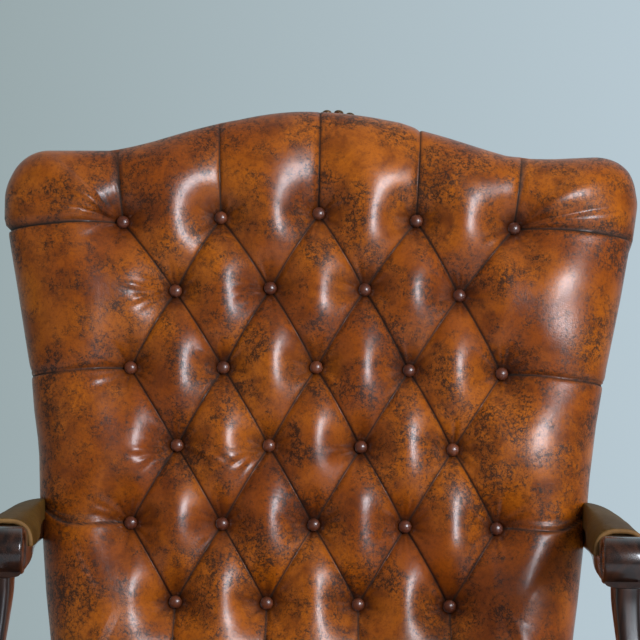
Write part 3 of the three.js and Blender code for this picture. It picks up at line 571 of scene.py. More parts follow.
def button_relief(flat):
    """Fine puckers that radiate from each button, and the darkening painted round it: painted shade
    in the pit, together with dirt.
    """
    rise = np.zeros(flat.shape[:-1])
    shade_and_grime = np.zeros(flat.shape[:-1])
    draw = np.random.default_rng(11)
    for centre in button_places():
        offset = flat - centre
        away = np.hypot(offset[..., 0], offset[..., 1])
        angle = np.arctan2(offset[..., 1], offset[..., 0])
        reach = smoothstep(*pucker_span, away) * (1 - smoothstep(*pucker_fade, away))
        ripple = np.zeros_like(away)
        for count in (8, 13, 19):
            phase, lean = draw.uniform(0, math.tau), draw.uniform(-0.3, 0.3)
            ripple += np.sin(angle * count + phase + lean * away / (10 * MM)) * 6 / count
        rise += ripple * reach * pucker_rise
        streak = 1 + 0.32 * np.clip(-ripple, -1.4, 1.6) * smoothstep(*streak_span, away)
        # Painted shade deep in the pit, with dirt, fading outwards and streaked along the puckers.
        near = np.exp(-((np.maximum(away - pit_shade_and_grime_start, 0) / pit_shade_and_grime_reach) ** 1.3))
        shade_and_grime = np.maximum(shade_and_grime, near * streak)
    return rise, shade_and_grime


def drag_relief(flat):
    """Soft creases where the hide drags towards a button, as the photograph shows."""
    rise = np.zeros(flat.shape[:-1])
    # Each: the step and row of its button, the way it runs from there in degrees, its
    # reach in millimetres and its strength.
    drags = [
        (-3, 1, 180, 64, 1.7), (-3, 1, 196, 62, 1.6), (-3, 1, 212, 52, 1.2), (-3, 1, 164, 48, 1.2),
        (-3, 3, 192, 60, 1.6), (-3, 3, 208, 56, 1.3), (-3, 3, 174, 44, 1.0), (-3, 3, 224, 44, 0.9),
        (-4, 0, 148, 60, 1.5), (-4, 0, 164, 56, 1.3), (-4, 0, 130, 44, 1.2), (-4, 0, 196, 50, 1.0),
        (-1, 1, 182, 46, 1.4), (-1, 1, 200, 48, 1.4), (-1, 1, 216, 42, 1.1), (-1, 3, 192, 46, 1.3),
        (-1, 3, 206, 60, 1.5), (-1, 3, 220, 58, 1.2), (-3, 3, 336, 70, 1.4), (-3, 3, 350, 58, 1.2),
        (-4, 2, 204, 56, 1.1), (-4, 2, 160, 44, 0.8), (4, 0, 196, 44, 0.9), (3, 1, 352, 46, 1.0),
        (3, 1, 338, 44, 0.8), (1, 1, 318, 44, 1.0), (1, 1, 200, 38, 0.8), (3, 3, 332, 50, 1.0),
        (-2, 2, 150, 38, 0.9), (-4, 4, 140, 56, 1.1), (-4, 4, 158, 50, 1.0), (4, 2, 28, 48, 1.0),
        (4, 2, 334, 50, 0.8), (4, 4, 36, 54, 1.0), (1, 3, 200, 42, 1.0), (1, 3, 184, 40, 0.8),
        (2, 2, 210, 40, 0.9), (0, 2, 318, 40, 0.9), (0, 0, 22, 40, 0.8), (2, 0, 158, 40, 0.8),
        (0, 4, 160, 44, 0.9), (2, 4, 20, 44, 0.8), (-2, 4, 150, 40, 0.9), (3, 3, 200, 40, 0.8),
    ]
    for step, row, degrees, reach, strength in drags:
        start = tuft(float(step), float(row))
        angle = math.radians(degrees)
        offset = flat - start
        run = (offset[..., 0] * math.cos(angle) + offset[..., 1] * math.sin(angle)) / (reach * MM)
        side = -offset[..., 0] * math.sin(angle) + offset[..., 1] * math.cos(angle)
        side = side + drag_wobble * np.sin(run * 4 + degrees)
        width = (1.6 + 3.2 * np.clip(run, 0, 1)) * MM
        shape = smoothstep(0.12, 0.35, run) * (1 - smoothstep(0.55, 1.0, run))
        ridge = np.exp(-((side / width) ** 2))
        trough = np.exp(-((side / width - 1.6) ** 2))
        rise += (ridge - 0.7 * trough) * shape * strength * MM
    return rise


def smooth_mesh(name, points, faces, weld=0.0):
    """A smooth-shaded mesh with its faces turned out and points at one place welded."""
    mesh = bpy.data.meshes.new(name)
    mesh.from_pydata([tuple(point) for point in points], [], faces)
    mesh.validate()
    work = bmesh.new()
    work.from_mesh(mesh)
    if weld:
        bmesh.ops.remove_doubles(work, verts=work.verts, dist=weld)
    bmesh.ops.recalc_face_normals(work, faces=work.faces)
    work.to_mesh(mesh)
    work.free()
    mesh.shade_smooth()
    return mesh


def field_faces(columns, rows):
    """Triangles over the buttoned field. Each cell is cut the way its pleat runs."""
    faces = []
    count = len(columns)
    for i in range(len(rows) - 1):
        for j in range(count - 1):
            a = i * count + j
            b, c, d = a + 1, a + count + 1, a + count
            cell = math.floor(columns[j] + 1e-6) + math.floor(rows[i] + 1e-6)
            if cell % 2 == 0:
                faces += [(a, d, c), (a, c, b)]
            else:
                faces += [(a, d, b), (b, d, c)]
    return faces


def rim_faces(first, base, depth):
    """Faces between neighbouring rays. Each ray has its first point in the field and then
    depth points of its own, and all end at one point in the middle of the rear."""
    chains = []
    for ray, start in enumerate(first):
        chains.append([start, *range(base + ray * depth, base + (ray + 1) * depth)])
    pairs = list(zip(chains, chains[1:] + chains[:1]))
    faces = []
    for chain, beside in pairs:
        for k in range(depth):
            if chain[k] == beside[k]:
                faces.append((chain[k + 1], beside[k + 1], chain[k]))
            else:
                faces.append((chain[k], chain[k + 1], beside[k + 1], beside[k]))
    centre = base + len(first) * depth
    faces += [(chain[-1], centre, beside[-1]) for chain, beside in pairs]
    return faces


def make_inside_back():
    columns = np.linspace(-reach_steps, reach_steps, 2 * reach_steps * cells_per_step + 1)
    rows = np.linspace(0, button_rows - 1, (button_rows - 1) * cells_per_step + 1)
    across, down = np.meshgrid(columns, rows)
    field_flat = tuft(across, down)
    base = seat_level + crown_at(across, down)
    field_out = base + field_top(across, down) * button_pits(field_flat)

    rays = rim_rays()
    start = tuft(rays[:, 0], rays[:, 1])
    end = rays[:, 2:4]
    full = rays[:, 4]
    length = np.linalg.norm(end - start, axis=1)
    over_crest = end[:, 1] > shoulder_height
    roll = np.minimum(np.where(over_crest, crest_roll, pad_roll), length * 0.9)
    plain = np.linspace(0, 1, rim_steps + 1)[1:] ** 1.25
    angles = np.linspace(0, math.pi / 2, roll_steps + 1)[1:]
    flat_reach = (length - roll)[:, None] * plain[None, :]
    roll_reach = length[:, None] - roll[:, None] * (1 - np.sin(angles))[None, :]
    reach = np.concatenate([flat_reach, roll_reach], axis=1)
    share = reach / length[:, None]
    rim_flat = start[:, None, :] + (end - start)[:, None, :] * share[..., None]
    seat = seat_level + crown_at(rays[:, 0], rays[:, 1])
    start_top = seat + field_top(rays[:, 0], rays[:, 1])
    to_edge = np.clip(1 - (length[:, None] - reach) / roll[:, None], 0, 1)
    face = np.where(over_crest, crest_face, side_face)[:, None]
    rolled = pad_edge + (face - pad_edge) * np.sqrt(np.clip(1 - to_edge**1.85, 0, 1))
    valley = valley_depth * (1 - share) ** 0.8 + valley_edge_depth
    bulge = (full[:, None] - 1) * valley
    dome = panel_crown * np.sin(np.pi * np.clip(share, 0, 1)) * full[:, None]
    plateau = rolled + (bulge + dome) * np.sqrt(np.clip(1 - to_edge**3, 0, 1))
    spread = smoothstep(0, rim_blend, reach)
    rim_top = start_top[:, None] + (plateau - start_top[:, None]) * spread
    rim_out = seat[:, None] + (rim_top - seat[:, None]) * button_pits(rim_flat)

    def finished(flat, out, calm):
        sink, crease_shade_and_grime = fold_relief(flat)
        pucker, button_shade_and_grime = button_relief(flat)
        rise = pucker + drag_relief(flat) + wander(flat, hand_wave, 5) * hand_waviness
        out = out + rise * calm - sink * (0.35 + 0.65 * calm)
        return on_back(flat[..., 0], flat[..., 1], out), crease_shade_and_grime, button_shade_and_grime

    field_spots, field_crease, field_button = finished(field_flat, field_out, np.ones(across.shape))
    # Near the outline a crease draws the hide in towards the middle instead of down.
    sink, _ = fold_relief(rim_flat)
    inward = (end - start) / length[:, None]
    draw = (sink - bulge * 0.5) * to_edge**2
    drawn = rim_flat - inward[:, None, :] * draw[..., None]
    calm = smoothstep(0, calm_width, length[:, None] - reach)
    rim_spots, rim_crease, rim_button = finished(rim_flat, rim_out, calm)
    shifted = on_back(drawn[..., 0], drawn[..., 1], np.zeros(drawn.shape[:-1]))
    unshifted = on_back(rim_flat[..., 0], rim_flat[..., 1], np.zeros(drawn.shape[:-1]))
    rim_spots = rim_spots + shifted - unshifted

    edge = drawn[:, -1, :] - inward * edge_tuck
    tail = on_back(edge[:, 0], edge[:, 1], np.full(len(edge), pad_rear))
    points = [*field_spots.reshape(-1, 3)]
    crease = [*field_crease.ravel()]
    near_button = [*field_button.ravel()]
    first = []
    for place_across, place_down in rays[:, :2]:
        j = round((place_across + reach_steps) * cells_per_step)
        i = round(place_down * cells_per_step)
        first.append(i * len(columns) + j)
    base = len(points)
    for ray, (spots, last) in enumerate(zip(rim_spots, tail)):
        points.extend(spots)
        points.append(last)
        crease.extend([*rim_crease[ray], 0])
        near_button.extend([*rim_button[ray], 0])
    faces = field_faces(columns, rows) + rim_faces(first, base, rim_flat.shape[1] + 1)
    points.append(on_back(0, (shoulder_height + back_bottom) / 2, pad_rear))
    crease.append(0)
    near_button.append(0)
    mesh = smooth_mesh("inside_back", points, faces)
    # The painted shade and dirt of the folds and of the button pits go to the shader as point
    # attributes.
    for name, values in (("crease", crease), ("button_shade_and_grime", near_button)):
        layer = mesh.attributes.new(name, "FLOAT", "POINT")
        layer.data.foreach_set("value", np.array(values, np.float32))
    return mesh


hide_light = (0.49, 0.125, 0.003)
hide_mid = (0.31, 0.066, 0.0025)
hide_dark = (0.13, 0.025, 0.003)
# The stain colour darkens the hide's marks, and also serves as painted shade in the folds.
hide_stain_and_crease_shade = (0.022, 0.01, 0.004)
# Colour of the painted shade and dirt round the buttons.
pit_shade_and_stain = (0.045, 0.012, 0.005)


def leather_finish(name, light, mid, dark, stain, gloss, marked=True, wear=0.0):
    """Antiqued hide: a clear base rubbed with darker stain that gathers in clouds, specks
    and net-like veins, with a fine pebble grain and a polished coat."""
    finish = Finish(bpy.data.materials.new(name))
    at = finish.place()
    warp = finish.noise(80, 3, 0.6, output="Color")
    bend = finish.add("ShaderNodeVectorMath", {"operation": "SCALE"}, {0: warp, "Scale": 0.01})
    bent = finish.add("ShaderNodeVectorMath", {"operation": "ADD"}, {0: at, 1: bend})
    broad = finish.noise(9, 3, 0.55)
    cloud = finish.noise(30, 4, 0.62, 0.5)
    fine = finish.noise(210, 4, 0.68)
    tone = finish.mix(broad.stretched(0.36, 0.64), mid, light)
    tone = finish.mix(cloud.stretched(0.42, 0.74) * 0.75, tone, dark)
    if marked:
        def net(scale, width, vector):
            sockets = {"Vector": vector, "Scale": scale}
            edge = finish.add("ShaderNodeTexVoronoi", {"feature": "DISTANCE_TO_EDGE"}, sockets)
            return 1 - edge.stretched(0.0, width)

        patch = finish.noise(17, 4, 0.65, 0.4, bent).stretched(0.4, 0.62)
        patch_two = finish.noise(24, 3, 0.6, 0.6).stretched(0.44, 0.66)
        speck = finish.noise(430, 4, 0.72).stretched(0.5, 0.64)
        gaps = finish.noise(170, 3, 0.6).stretched(0.36, 0.62)
        veins = net(185, 0.26, bent) * patch * gaps + net(400, 0.34, bent) * patch_two * gaps
        specks = speck * (patch * 0.75 + patch_two * 0.5 + 0.22)
        marks = (veins * 0.8 + specks * 0.85).clipped()
        tone = finish.mix(fine.stretched(0.46, 0.72) * 0.5, tone, dark)
        tone = finish.mix(marks * 0.88, tone, stain)
        # The folds and button pits are darkened from the mesh's attributes: painted shade, with dirt.
        crease = finish.add("ShaderNodeAttribute", {"attribute_name": "crease"}, output="Fac")
        shade_and_grime = finish.add("ShaderNodeAttribute", {"attribute_name": "button_shade_and_grime"}, output="Fac")
        ragged = (shade_and_grime * (0.62 + speck * 0.4 + cloud * 0.8)).clipped()
        # Painted shade and dirt round the buttons.
        tone = finish.mix(ragged * 0.86, tone, pit_shade_and_stain)
        # Painted shade, with dirt, along the folds, in the stain colour.
        tone = finish.mix(crease * 0.82, tone, stain)
        rough = 0.27 + marks * 0.14 + fine * 0.06 + crease * 0.4
    else:
        tone = finish.mix(fine.stretched(0.46, 0.72) * 0.5, tone, dark)
        rough = 0.3 + fine * 0.12
    pebble_sockets = {"Vector": at, "Scale": 1000}
    pebble = finish.add("ShaderNodeTexVoronoi", {"feature": "F1"}, pebble_sockets)
    normal = finish.bump(pebble, 0.00014, 0.6)
    normal = finish.bump(fine, 0.0006, 0.3, normal)
    return finish.close(
        Base_Color=tone, Roughness=rough + wear, Specular_IOR_Level=0.46 - wear, Coat_Weight=gloss,
        Coat_Roughness=0.16, Normal=normal,
    )


hide = leather_finish("antiqued_hide", hide_light, hide_mid, hide_dark, hide_stain_and_crease_shade, 0.14)


def show(mesh, name, material, body="chair"):
    """Puts a mesh in the scene as a piece that rides on a body."""
    piece = bpy.data.objects.new(name, mesh)
    bpy.context.scene.collection.objects.link(piece)
    mesh.materials.clear()
    mesh.materials.append(material)
    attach(piece, body)
    return piece


inside_back = show(make_inside_back(), "inside_back", hide)
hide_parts("back_pad")


# Buttons. Each is a domed metal shell covered in the same hide, pulled down into the pad
# on twine. The hide is gathered under the rim, and hands have polished the dome.
button_radius = 7.1 * MM
button_height = 6.6 * MM
button_depth = 23.5 * MM


def skin(rings, caps=True):
    """Points and faces over closed rings that have the same number of points each."""
    rings = [np.asarray(ring, float) for ring in rings]
    count = len(rings[0])
    points = np.concatenate(rings)
    faces = []
    for i in range(len(rings) - 1):
        for j in range(count):
            k = (j + 1) % count
            faces.append((i * count + j, i * count + k, (i + 1) * count + k, (i + 1) * count + j))
    if caps:
        for start in (0, (len(rings) - 1) * count):
            middle = len(points)
            points = np.vstack([points, points[start:start + count].mean(axis=0)])
            faces += [(start + j, start + (j + 1) % count, middle) for j in range(count)]
    return points, faces


def as_mesh(name, *parts, sharp=None):
    """One smooth mesh of several skins, its edges sharp where they turn by more degrees."""
    points, faces = [], []
    for part_points, part_faces in parts:
        base = len(points)
        points += [tuple(point) for point in part_points]
        faces += [tuple(base + index for index in face) for face in part_faces]
    mesh = smooth_mesh(name, points, faces, weld=1e-6)
    if sharp:
        mesh.set_sharp_from_angle(angle=math.radians(sharp))
    return mesh


def turned(profile, centre, axis, side_axis, sides=36, gather=0.0):
    """Skin of a turned shape from (radius, height) pairs along an axis, its top closed."""
    axis, side_axis = np.array(axis), np.array(side_axis)
    third = np.cross(axis, side_axis)
    angles = np.arange(sides) * math.tau / sides
    rings = []
    for radius, height in profile:
        folds = 1 + gather * np.sin(angles * sides / 4) * max(1 - height / profile[-1][1], 0)
        spoke = np.cos(angles)[:, None] * side_axis + np.sin(angles)[:, None] * third
        rings.append(np.array(centre) + axis * height + spoke * (radius * folds)[:, None])
    return skin(rings)


off_slope = np.array([0, -math.cos(recline), math.sin(recline)])
sideways = np.array([1.0, 0, 0])
button_profile = [
    (0.80, -0.32), (0.84, -0.05), (0.97, 0.04), (1.0, 0.16), (0.99, 0.3), (0.93, 0.5),
    (0.82, 0.68), (0.66, 0.82), (0.46, 0.92), (0.24, 0.98), (0.06, 1.0),
]
button_hide = leather_finish(
    "button_hide", (0.2, 0.055, 0.02), (0.13, 0.033, 0.014), (0.04, 0.012, 0.007),
    (0.03, 0.01, 0.006), 0.6, marked=False,
)
for row in range(button_rows):
    for column, step in enumerate(range(-reach_steps + row % 2, reach_steps + 1, 2)):
        place = tuft(float(step), float(row))
        centre = on_back(place[0], place[1], button_depth + crown_at(step, row))
        profile = [(r * button_radius, height * button_height) for r, height in button_profile]
        turn = np.random.default_rng(row * 9 + column).uniform(-0.3, 0.3)
        up_slope = np.cross(off_slope, sideways)
        spoke = sideways * math.cos(turn) + up_slope * math.sin(turn)
        mesh = as_mesh("button", turned(profile, centre, off_slope, spoke, 40, 0.03))
        button = show(mesh, f"button_{row + 1}_{column + 1}", button_hide)
        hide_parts(f"back_button_{row + 1}_{column + 1}")


# Outside back. A plain hide is pulled over the rear of the frame, turned round the edge
# and under the bottom rail, and close-nailed with bronzed dome nails up both sides and
# over the crest.
frame_depth = 28 * MM
rail_bottom = 285 * MM
nail_pitch = 13.5 * MM
nail_radius = 5.5 * MM
nail_height = 3.6 * MM
nail_line = 8 * MM
nail_foot = 8 * MM
nail_skirt = 0.4 * MM
rim_step = 3.6 * MM
crest_peek = 17 * MM
crest_peek_width = 34 * MM
crest_peek_share = 2.6
panel_inset = 14 * MM
panel_out = -36.7 * MM
panel_middle = 330 * MM
panel_puff = 2.6 * MM
panel_waviness = 0.7 * MM
panel_wave = 260 * MM


def slope_at(height, out):
    """How far up the slope the back reaches a height above the floor."""
    return (height - pivot_z - out * math.sin(recline)) / math.cos(recline)


outside_bottom = slope_at(rail_bottom, -frame_depth)


def back_outline(bottom, inset, foot_steps=0):
    """The back's outline from its right foot over the crest to its left foot."""
    up = np.linspace(bottom, shoulder_height, 90)[:-1]
    side = np.stack([back_half_width(up), up], axis=-1)
    angle = np.linspace(0, math.pi / 2, 26)[:-1]
    ear = np.stack([
        shoulder_half_width - ear_reach * (1 - np.cos(angle)),
        shoulder_height + ear_rise * np.sin(angle),
    ], axis=-1)
    across = np.linspace(shoulder_half_width - ear_reach, 0, 70)
    crest = np.stack([across, crest_height(across)], axis=-1)
    line = np.concatenate([side, ear, crest])
    along = np.gradient(line, axis=0)
    along[0], along[-1] = (0, 1), (-1, 0)
    along /= np.linalg.norm(along, axis=1)[:, None]
    right = line + inset * np.stack([-along[:, 1], along[:, 0]], axis=-1)
    left = right[-2::-1] * (-1, 1)
    foot = np.linspace(left[-1], right[0], foot_steps + 2)[1:-1]
    return np.concatenate([right, left, foot])


def rim_outline(bottom, inset, foot_steps=0):
    """The outside back's rim. It stands back from the pad's edge, except in the middle of
    the crest, where it rises above it."""
    line = back_outline(bottom, inset, foot_steps)
    back = back_outline(bottom, inset + rim_step, foot_steps)
    reach = (line[:, 0] - crest_peek) / crest_peek_width
    rise = np.exp(-(reach**2)) * (line[:, 1] > shoulder_height) * crest_peek_share
    return back + (line - back) * rise[:, None]


def make_outside_back():
    rings = []
    folds = [
        (12, -1.2), (7, -0.9), (3.4, -1.4), (1.2, -3.6), (0.3, -8), (0, -15), (0, -24),
        (0.5, -29), (1.8, -32.6), (4.4, -35), (8.5, -36.2), (14, -36.7),
    ]
    for inset, depth in folds:
        line = rim_outline(outside_bottom, inset * MM, 60)
        rings.append(on_back(line[:, 0], line[:, 1], np.full(len(line), depth * MM)))
    edge = back_outline(outside_bottom, panel_inset, 60)
    centre = np.array([0, panel_middle])
    for share in np.linspace(1, 0.02, 40)[1:]:
        flat = centre + (edge - centre) * share
        ripple = wander(flat, panel_wave, 21) * panel_waviness * (1 - share**6)
        puff = panel_puff * (1 - share**4) + ripple
        rings.append(on_back(flat[:, 0], flat[:, 1], panel_out - puff))
    return as_mesh("outside_back_hide", skin(rings))


outside_back = show(make_outside_back(), "outside_back_hide", hide)
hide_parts("outside_back")


def metal_finish(name, bright, dark, rough):
    """Old metal: bright where it is rubbed and dark where the lacquer stays."""
    finish = Finish(bpy.data.materials.new(name))
    tarnish = finish.noise(420, 4, 0.7)
    tone = finish.mix(tarnish.stretched(0.38, 0.68), bright, dark)
    normal = finish.bump(finish.noise(900, 2), 0.0002, 0.3)
    return finish.close(
        Base_Color=tone, Metallic=0.85, Roughness=rough + tarnish * 0.25, Normal=normal
    )


def nail(centre, axis, side_axis, sides=14):
    """A dome nail's head, its skirt sunk a little in the hide."""
    arc = np.linspace(0, math.pi / 2, 6)
    profile = [(nail_radius * 0.96, -nail_skirt)]
    profile += [(nail_radius * math.cos(a), nail_height * math.sin(a)) for a in arc[:-1]]
    profile.append((nail_radius * 0.08, nail_height))
    return turned(profile, centre, axis, side_axis, sides)


def along_line(line, pitch, multiple=1):
    """Evenly spaced places on a polyline, with the direction of the line at each. The
    number of steps between them can be divided by the multiple."""
    steps = np.linalg.norm(np.diff(line, axis=0), axis=1)
    travel = np.concatenate([[0], np.cumsum(steps)])
    count = int(round(travel[-1] / pitch / multiple)) * multiple
    marks = np.linspace(0, travel[-1], count + 1)
    places = np.stack([np.interp(marks, travel, axis) for axis in line.T], axis=-1)
    ways = np.gradient(places, axis=0)
    return places, ways / np.linalg.norm(ways, axis=1)[:, None]


def make_back_nails():
    line = rim_outline(outside_bottom + nail_foot, 0)
    places, ways = along_line(line, nail_pitch)
    outward = np.stack([ways[:, 1], -ways[:, 0]], axis=-1)
    spots = on_back(places[:, 0], places[:, 1], np.full(len(places), -nail_line))
    up_slope = np.cross(off_slope, sideways)
    skins = []
    for spot, (out_x, out_up) in zip(spots, outward):
        skins.append(nail(spot, sideways * out_x + up_slope * out_up, off_slope))
    return as_mesh("back_nails", *skins)


bronze = metal_finish("bronzed_brass", (0.36, 0.2, 0.09), (0.07, 0.04, 0.025), 0.28)
back_nails = show(make_back_nails(), "back_nails", bronze)


# Rear legs and back posts. Each is sawn in one piece from a dark polished hardwood: a
# raked leg below the seat, and an upright hidden in the back's padded edge above it.
frame_inset = 12.3 * MM
post_width = 30 * MM
rear_foot_rake = 72 * MM
foot_share = 0.8
foot_edge = 1.5 * MM


def wood_finish(name, along):
    """French-polished wood, almost black, with reddish figure that runs along one axis."""
    finish = Finish(bpy.data.materials.new(name))
    figure_scale = tuple(0.07 if axis == along else 1 for axis in "xyz")
    pore_scale = tuple(0.03 if axis == along else 1 for axis in "xyz")
    figure = finish.noise(60, 4, 0.6, 0.9, finish.place(scale=figure_scale))
    pores = finish.noise(700, 3, 0.6, 0, finish.place(scale=pore_scale))
    cloud = finish.noise(9, 3, 0.5)
    tone = finish.mix(figure.stretched(0.36, 0.68), (0.014, 0.0075, 0.006), (0.05, 0.019, 0.01))
    tone = finish.mix(cloud.stretched(0.4, 0.7) * 0.5, tone, (0.009, 0.006, 0.006))
    tone = finish.mix(pores.stretched(0.56, 0.7) * 0.6, tone, (0.004, 0.003, 0.003))
    rough = 0.2 + cloud * 0.14 + pores * 0.05
    normal = finish.bump(pores, 0.00012, 0.4)
    return finish.close(
        Base_Color=tone, Roughness=rough, Coat_Weight=0.6, Coat_Roughness=0.08, Normal=normal
    )


def eased(table, steps):
    """Rows of numbers with smoothly curving rows put in between them."""
    table = np.asarray(table, float)
    padded = np.vstack([2 * table[0] - table[1], table, 2 * table[-1] - table[-2]])
    rows = []
    for i in range(len(table) - 1):
        a, b, c, d = padded[i:i + 4]
        for t in np.arange(steps) / steps:
            bend = (2 * a - 5 * b + 4 * c - d) * t**2 + (3 * b - 3 * c + d - a) * t**3
            rows.append(b + ((c - a) * t + bend) / 2)
    return np.array([*rows, table[-1]])


def rounded_ring(centre, along_a, along_b, half_a, half_b, power, count=40):
    """A ring from round to nearly square: the power is 2 for an ellipse, more for a box."""
    angles = (np.arange(count) + 0.5) * math.tau / count
    across, rise = (np.sign(v) * np.abs(v) ** (2 / power) for v in (np.cos(angles), np.sin(angles)))
    return (
        np.array(centre)
        + across[:, None] * half_a * np.array(along_a)
        + rise[:, None] * half_b * np.array(along_b)
    )


def make_post(side):
    forwards = np.array([0, -1.0, 0])
    knee = on_back(0, outside_bottom, -frame_depth / 2)
    leg_x = side * (back_half_width(outside_bottom) - frame_inset - post_width / 2)
    rings = []
    for share in np.linspace(1, 0.04, 30):
        taper = 1 + (foot_share - 1) * share
        centre = (leg_x, knee[1] + rear_foot_rake * share**1.5, knee[2] * (1 - share))
        half = post_width / 2 * taper
        rings.append(rounded_ring(centre, sideways, forwards, half, frame_depth / 2 * taper, 8))
        if share == 1:
            low = rings[0].copy()
            rings[0] = rings[0] + (np.array(centre) - rings[0]) * (0.06, 0.06, 0)
            low[:, 2] += foot_edge
            rings.append(low)
    top = shoulder_height - post_width
    for up in np.linspace(outside_bottom, top, 30):
        across = side * (back_half_width(up) - frame_inset - post_width / 2)
        centre = on_back(across, up, -frame_depth / 2)
        rings.append(rounded_ring(centre, sideways, off_slope, post_width / 2, frame_depth / 2, 8))
    return as_mesh("back_post", skin(rings), sharp=50)


upright_wood = wood_finish("polished_wood_upright", "z")
hands = (("right", 1), ("left", -1))
for hand, side in hands:
    post = show(make_post(side), f"rear_leg_and_post_{hand}", upright_wood)
    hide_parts(f"back_post_{hand}")


# Front legs. Cabriole legs of the same wood: a square block in the seat corner, a swelling
# knee, a slim ankle and a round pad foot that stands on a thin disc.
seat_length = 540 * MM
seat_front_half_width = 302 * MM
leg_block = 48 * MM
rail_top = 365 * MM
leg_stations = [
    (0.98, 0, 0.5, 10), (0.94, 0.1, 0.56, 6), (0.87, 0.2, 0.6, 3.6), (0.76, 0.22, 0.55, 3),
    (0.63, 0.13, 0.45, 2.7), (0.48, 0, 0.36, 2.4), (0.33, -0.08, 0.3, 2.1),
    (0.2, -0.09, 0.27, 2), (0.12, -0.03, 0.32, 2), (0.075, 0.07, 0.5, 2), (0.04, 0.1, 0.57, 2),
    (0.012, 0.1, 0.52, 2), (0, 0.1, 0.45, 2),
]


def make_front_leg(side):
    forwards = np.array([0, -1.0, 0])
    block_x = seat_front_half_width - leg_block / 2
    block_y = pivot_y - seat_length + leg_block / 2
    half = leg_block / 2
    top = (side * block_x, block_y, rail_top)
    rings = [rounded_ring(top, sideways, forwards, half, half, 10, 48)]
    for height, reach, share, power in eased(leg_stations, 6):
        centre = (
            side * (block_x + reach * leg_block),
            block_y - reach * leg_block,
            rail_bottom * max(height, 0),
        )
        size = leg_block * share
        rings.append(rounded_ring(centre, sideways, forwards, size, size, max(power, 2), 48))
    return as_mesh("front_leg", skin(rings), sharp=55)


for hand, side in hands:
    leg = show(make_front_leg(side), f"cabriole_leg_{hand}", upright_wood)
    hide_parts(f"front_leg_{hand}")


# Arm rails. A shaped bar runs from the post under the armrest, swells to a shoulder in
# front of it and ends in a scroll turned across the arm, with a boss and a ring each side.
arm_top = 656 * MM
arm_rail_top = 630 * MM
arm_rail_bottom = 606 * MM
arm_front = 330 * MM
arm_line_x = 292.5 * MM
arm_rear = 44 * MM
pad_half_width = 25.7 * MM
pad_rear_half_width = 23 * MM
rail_half_thickness = 12.7 * MM
scroll_radius = 22 * MM
scroll_half_width = 23 * MM
scroll_reach = 55 * MM
rail_tail = 12 * MM
rail_step = 1.5 * MM
welt_radius = 2.4 * MM
fit = 0.3 * MM
arm_rear_inner_x = back_half_width(slope_at(arm_rail_top, -frame_depth)) + fit * 2
scroll_ahead = arm_front + scroll_reach
scroll_top = arm_top - welt_radius - fit * 4
shoulder_ahead = arm_front + (welt_radius + fit) * 2


def smooth(share):
    return smoothstep(0, 1, share)


def make_arm_rail(side):
    up = np.array([0, 0, 1.0])
    middle = (arm_rail_top + arm_rail_bottom) / 2
    post_middle = on_back(0, slope_at(middle, -frame_depth / 2), -frame_depth / 2)
    rear_end = pivot_y - post_middle[1] - rail_tail
    rear_x = arm_rear_inner_x + rail_half_thickness
    front_half = pad_half_width * 0.75
    table = [(rear_end, rear_x, rail_half_thickness, arm_rail_top)]
    for station in np.linspace(0, 1, 12):
        share = smooth(station)
        x = rear_x + (arm_line_x - rear_x) * share
        half = rail_half_thickness + (front_half - rail_half_thickness) * share
        table.append((shoulder_ahead * station, x, half, arm_rail_top))
    shoulder = scroll_half_width * 0.95
    table[-1] = (shoulder_ahead - rail_step, arm_line_x, front_half, arm_rail_top)
    reach = scroll_ahead - shoulder_ahead
    swell = [
        (0, scroll_top - welt_radius), (0.35, scroll_top - welt_radius * 2),
        (0.7, scroll_top - welt_radius), (1, scroll_top - fit),
    ]
    curve = eased([(share, top) for share, top in swell], 6)
    table += [(shoulder_ahead + reach * s, arm_line_x, shoulder, top) for s, top in curve]
    scroll_height = scroll_top - scroll_radius
    table.append((scroll_ahead + scroll_radius / 2, arm_line_x, shoulder, scroll_height))
    rings = []
    for ahead, x, half, top in table:
        centre = (side * x, pivot_y - ahead, (top + arm_rail_bottom) / 2)
        rings.append(rounded_ring(centre, sideways, up, half, (top - arm_rail_bottom) / 2, 5))
    faces = [
        (0.04, 0.93), (0.14, 0.925), (0.22, 0.9), (0.27, 0.86), (0.31, 0.76), (0.35, 0.73),
        (0.5, 0.715), (0.65, 0.73), (0.7, 0.78), (0.74, 0.92), (0.79, 0.98), (0.86, 1.0),
        (0.93, 0.985), (0.98, 0.94), (1.0, 0.88),
    ]
    profile = [(scroll_radius * r, -scroll_half_width * w) for r, w in faces]
    profile += [(scroll_radius * r, scroll_half_width * w) for r, w in reversed(faces)]
    hub = (side * arm_line_x, pivot_y - scroll_ahead, scroll_height)
    drum = turned(profile, hub, sideways, up, 64)
    return as_mesh("arm_rail", skin(rings), drum, sharp=48)


arm_wood = wood_finish("polished_wood_arm", "y")
for hand, side in hands:
    rail = show(make_arm_rail(side), f"scrolled_arm_{hand}", arm_wood)
    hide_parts(f"arm_rail_{hand}")


# Arm supports. Each is lapped and screwed on the outside of the seat rail and curves up
# to the underside of the scroll.
border_thickness = 3 * MM
support_foot = 400 * MM
support_width = 38 * MM
support_thickness = 26 * MM
support_lap = 62 * MM
support_rounding = 6 * MM
support_stations = [
    (0, 0, 0, 1, 1), (0.12, 0, 0.1, 0.95, 1), (0.28, 0.1, 0.3, 0.78, 0.9),
    (0.45, 0.3, 0.42, 0.66, 0.82), (0.62, 0.6, 0.38, 0.62, 0.8), (0.8, 0.88, 0.2, 0.7, 0.86),
    (0.93, 1, 0.05, 0.86, 0.96), (1, 1, 0, 0.95, 1),
]
block_rear = seat_length - leg_block
seat_rear_half_width = back_half_width(outside_bottom) - frame_inset


def rail_outer_x(ahead):
    """The outer face of the side rails, which close in towards the back."""
    share = np.clip(1 - np.asarray(ahead) / block_rear, 0, None)
    return seat_front_half_width + (seat_rear_half_width - seat_front_half_width) * share


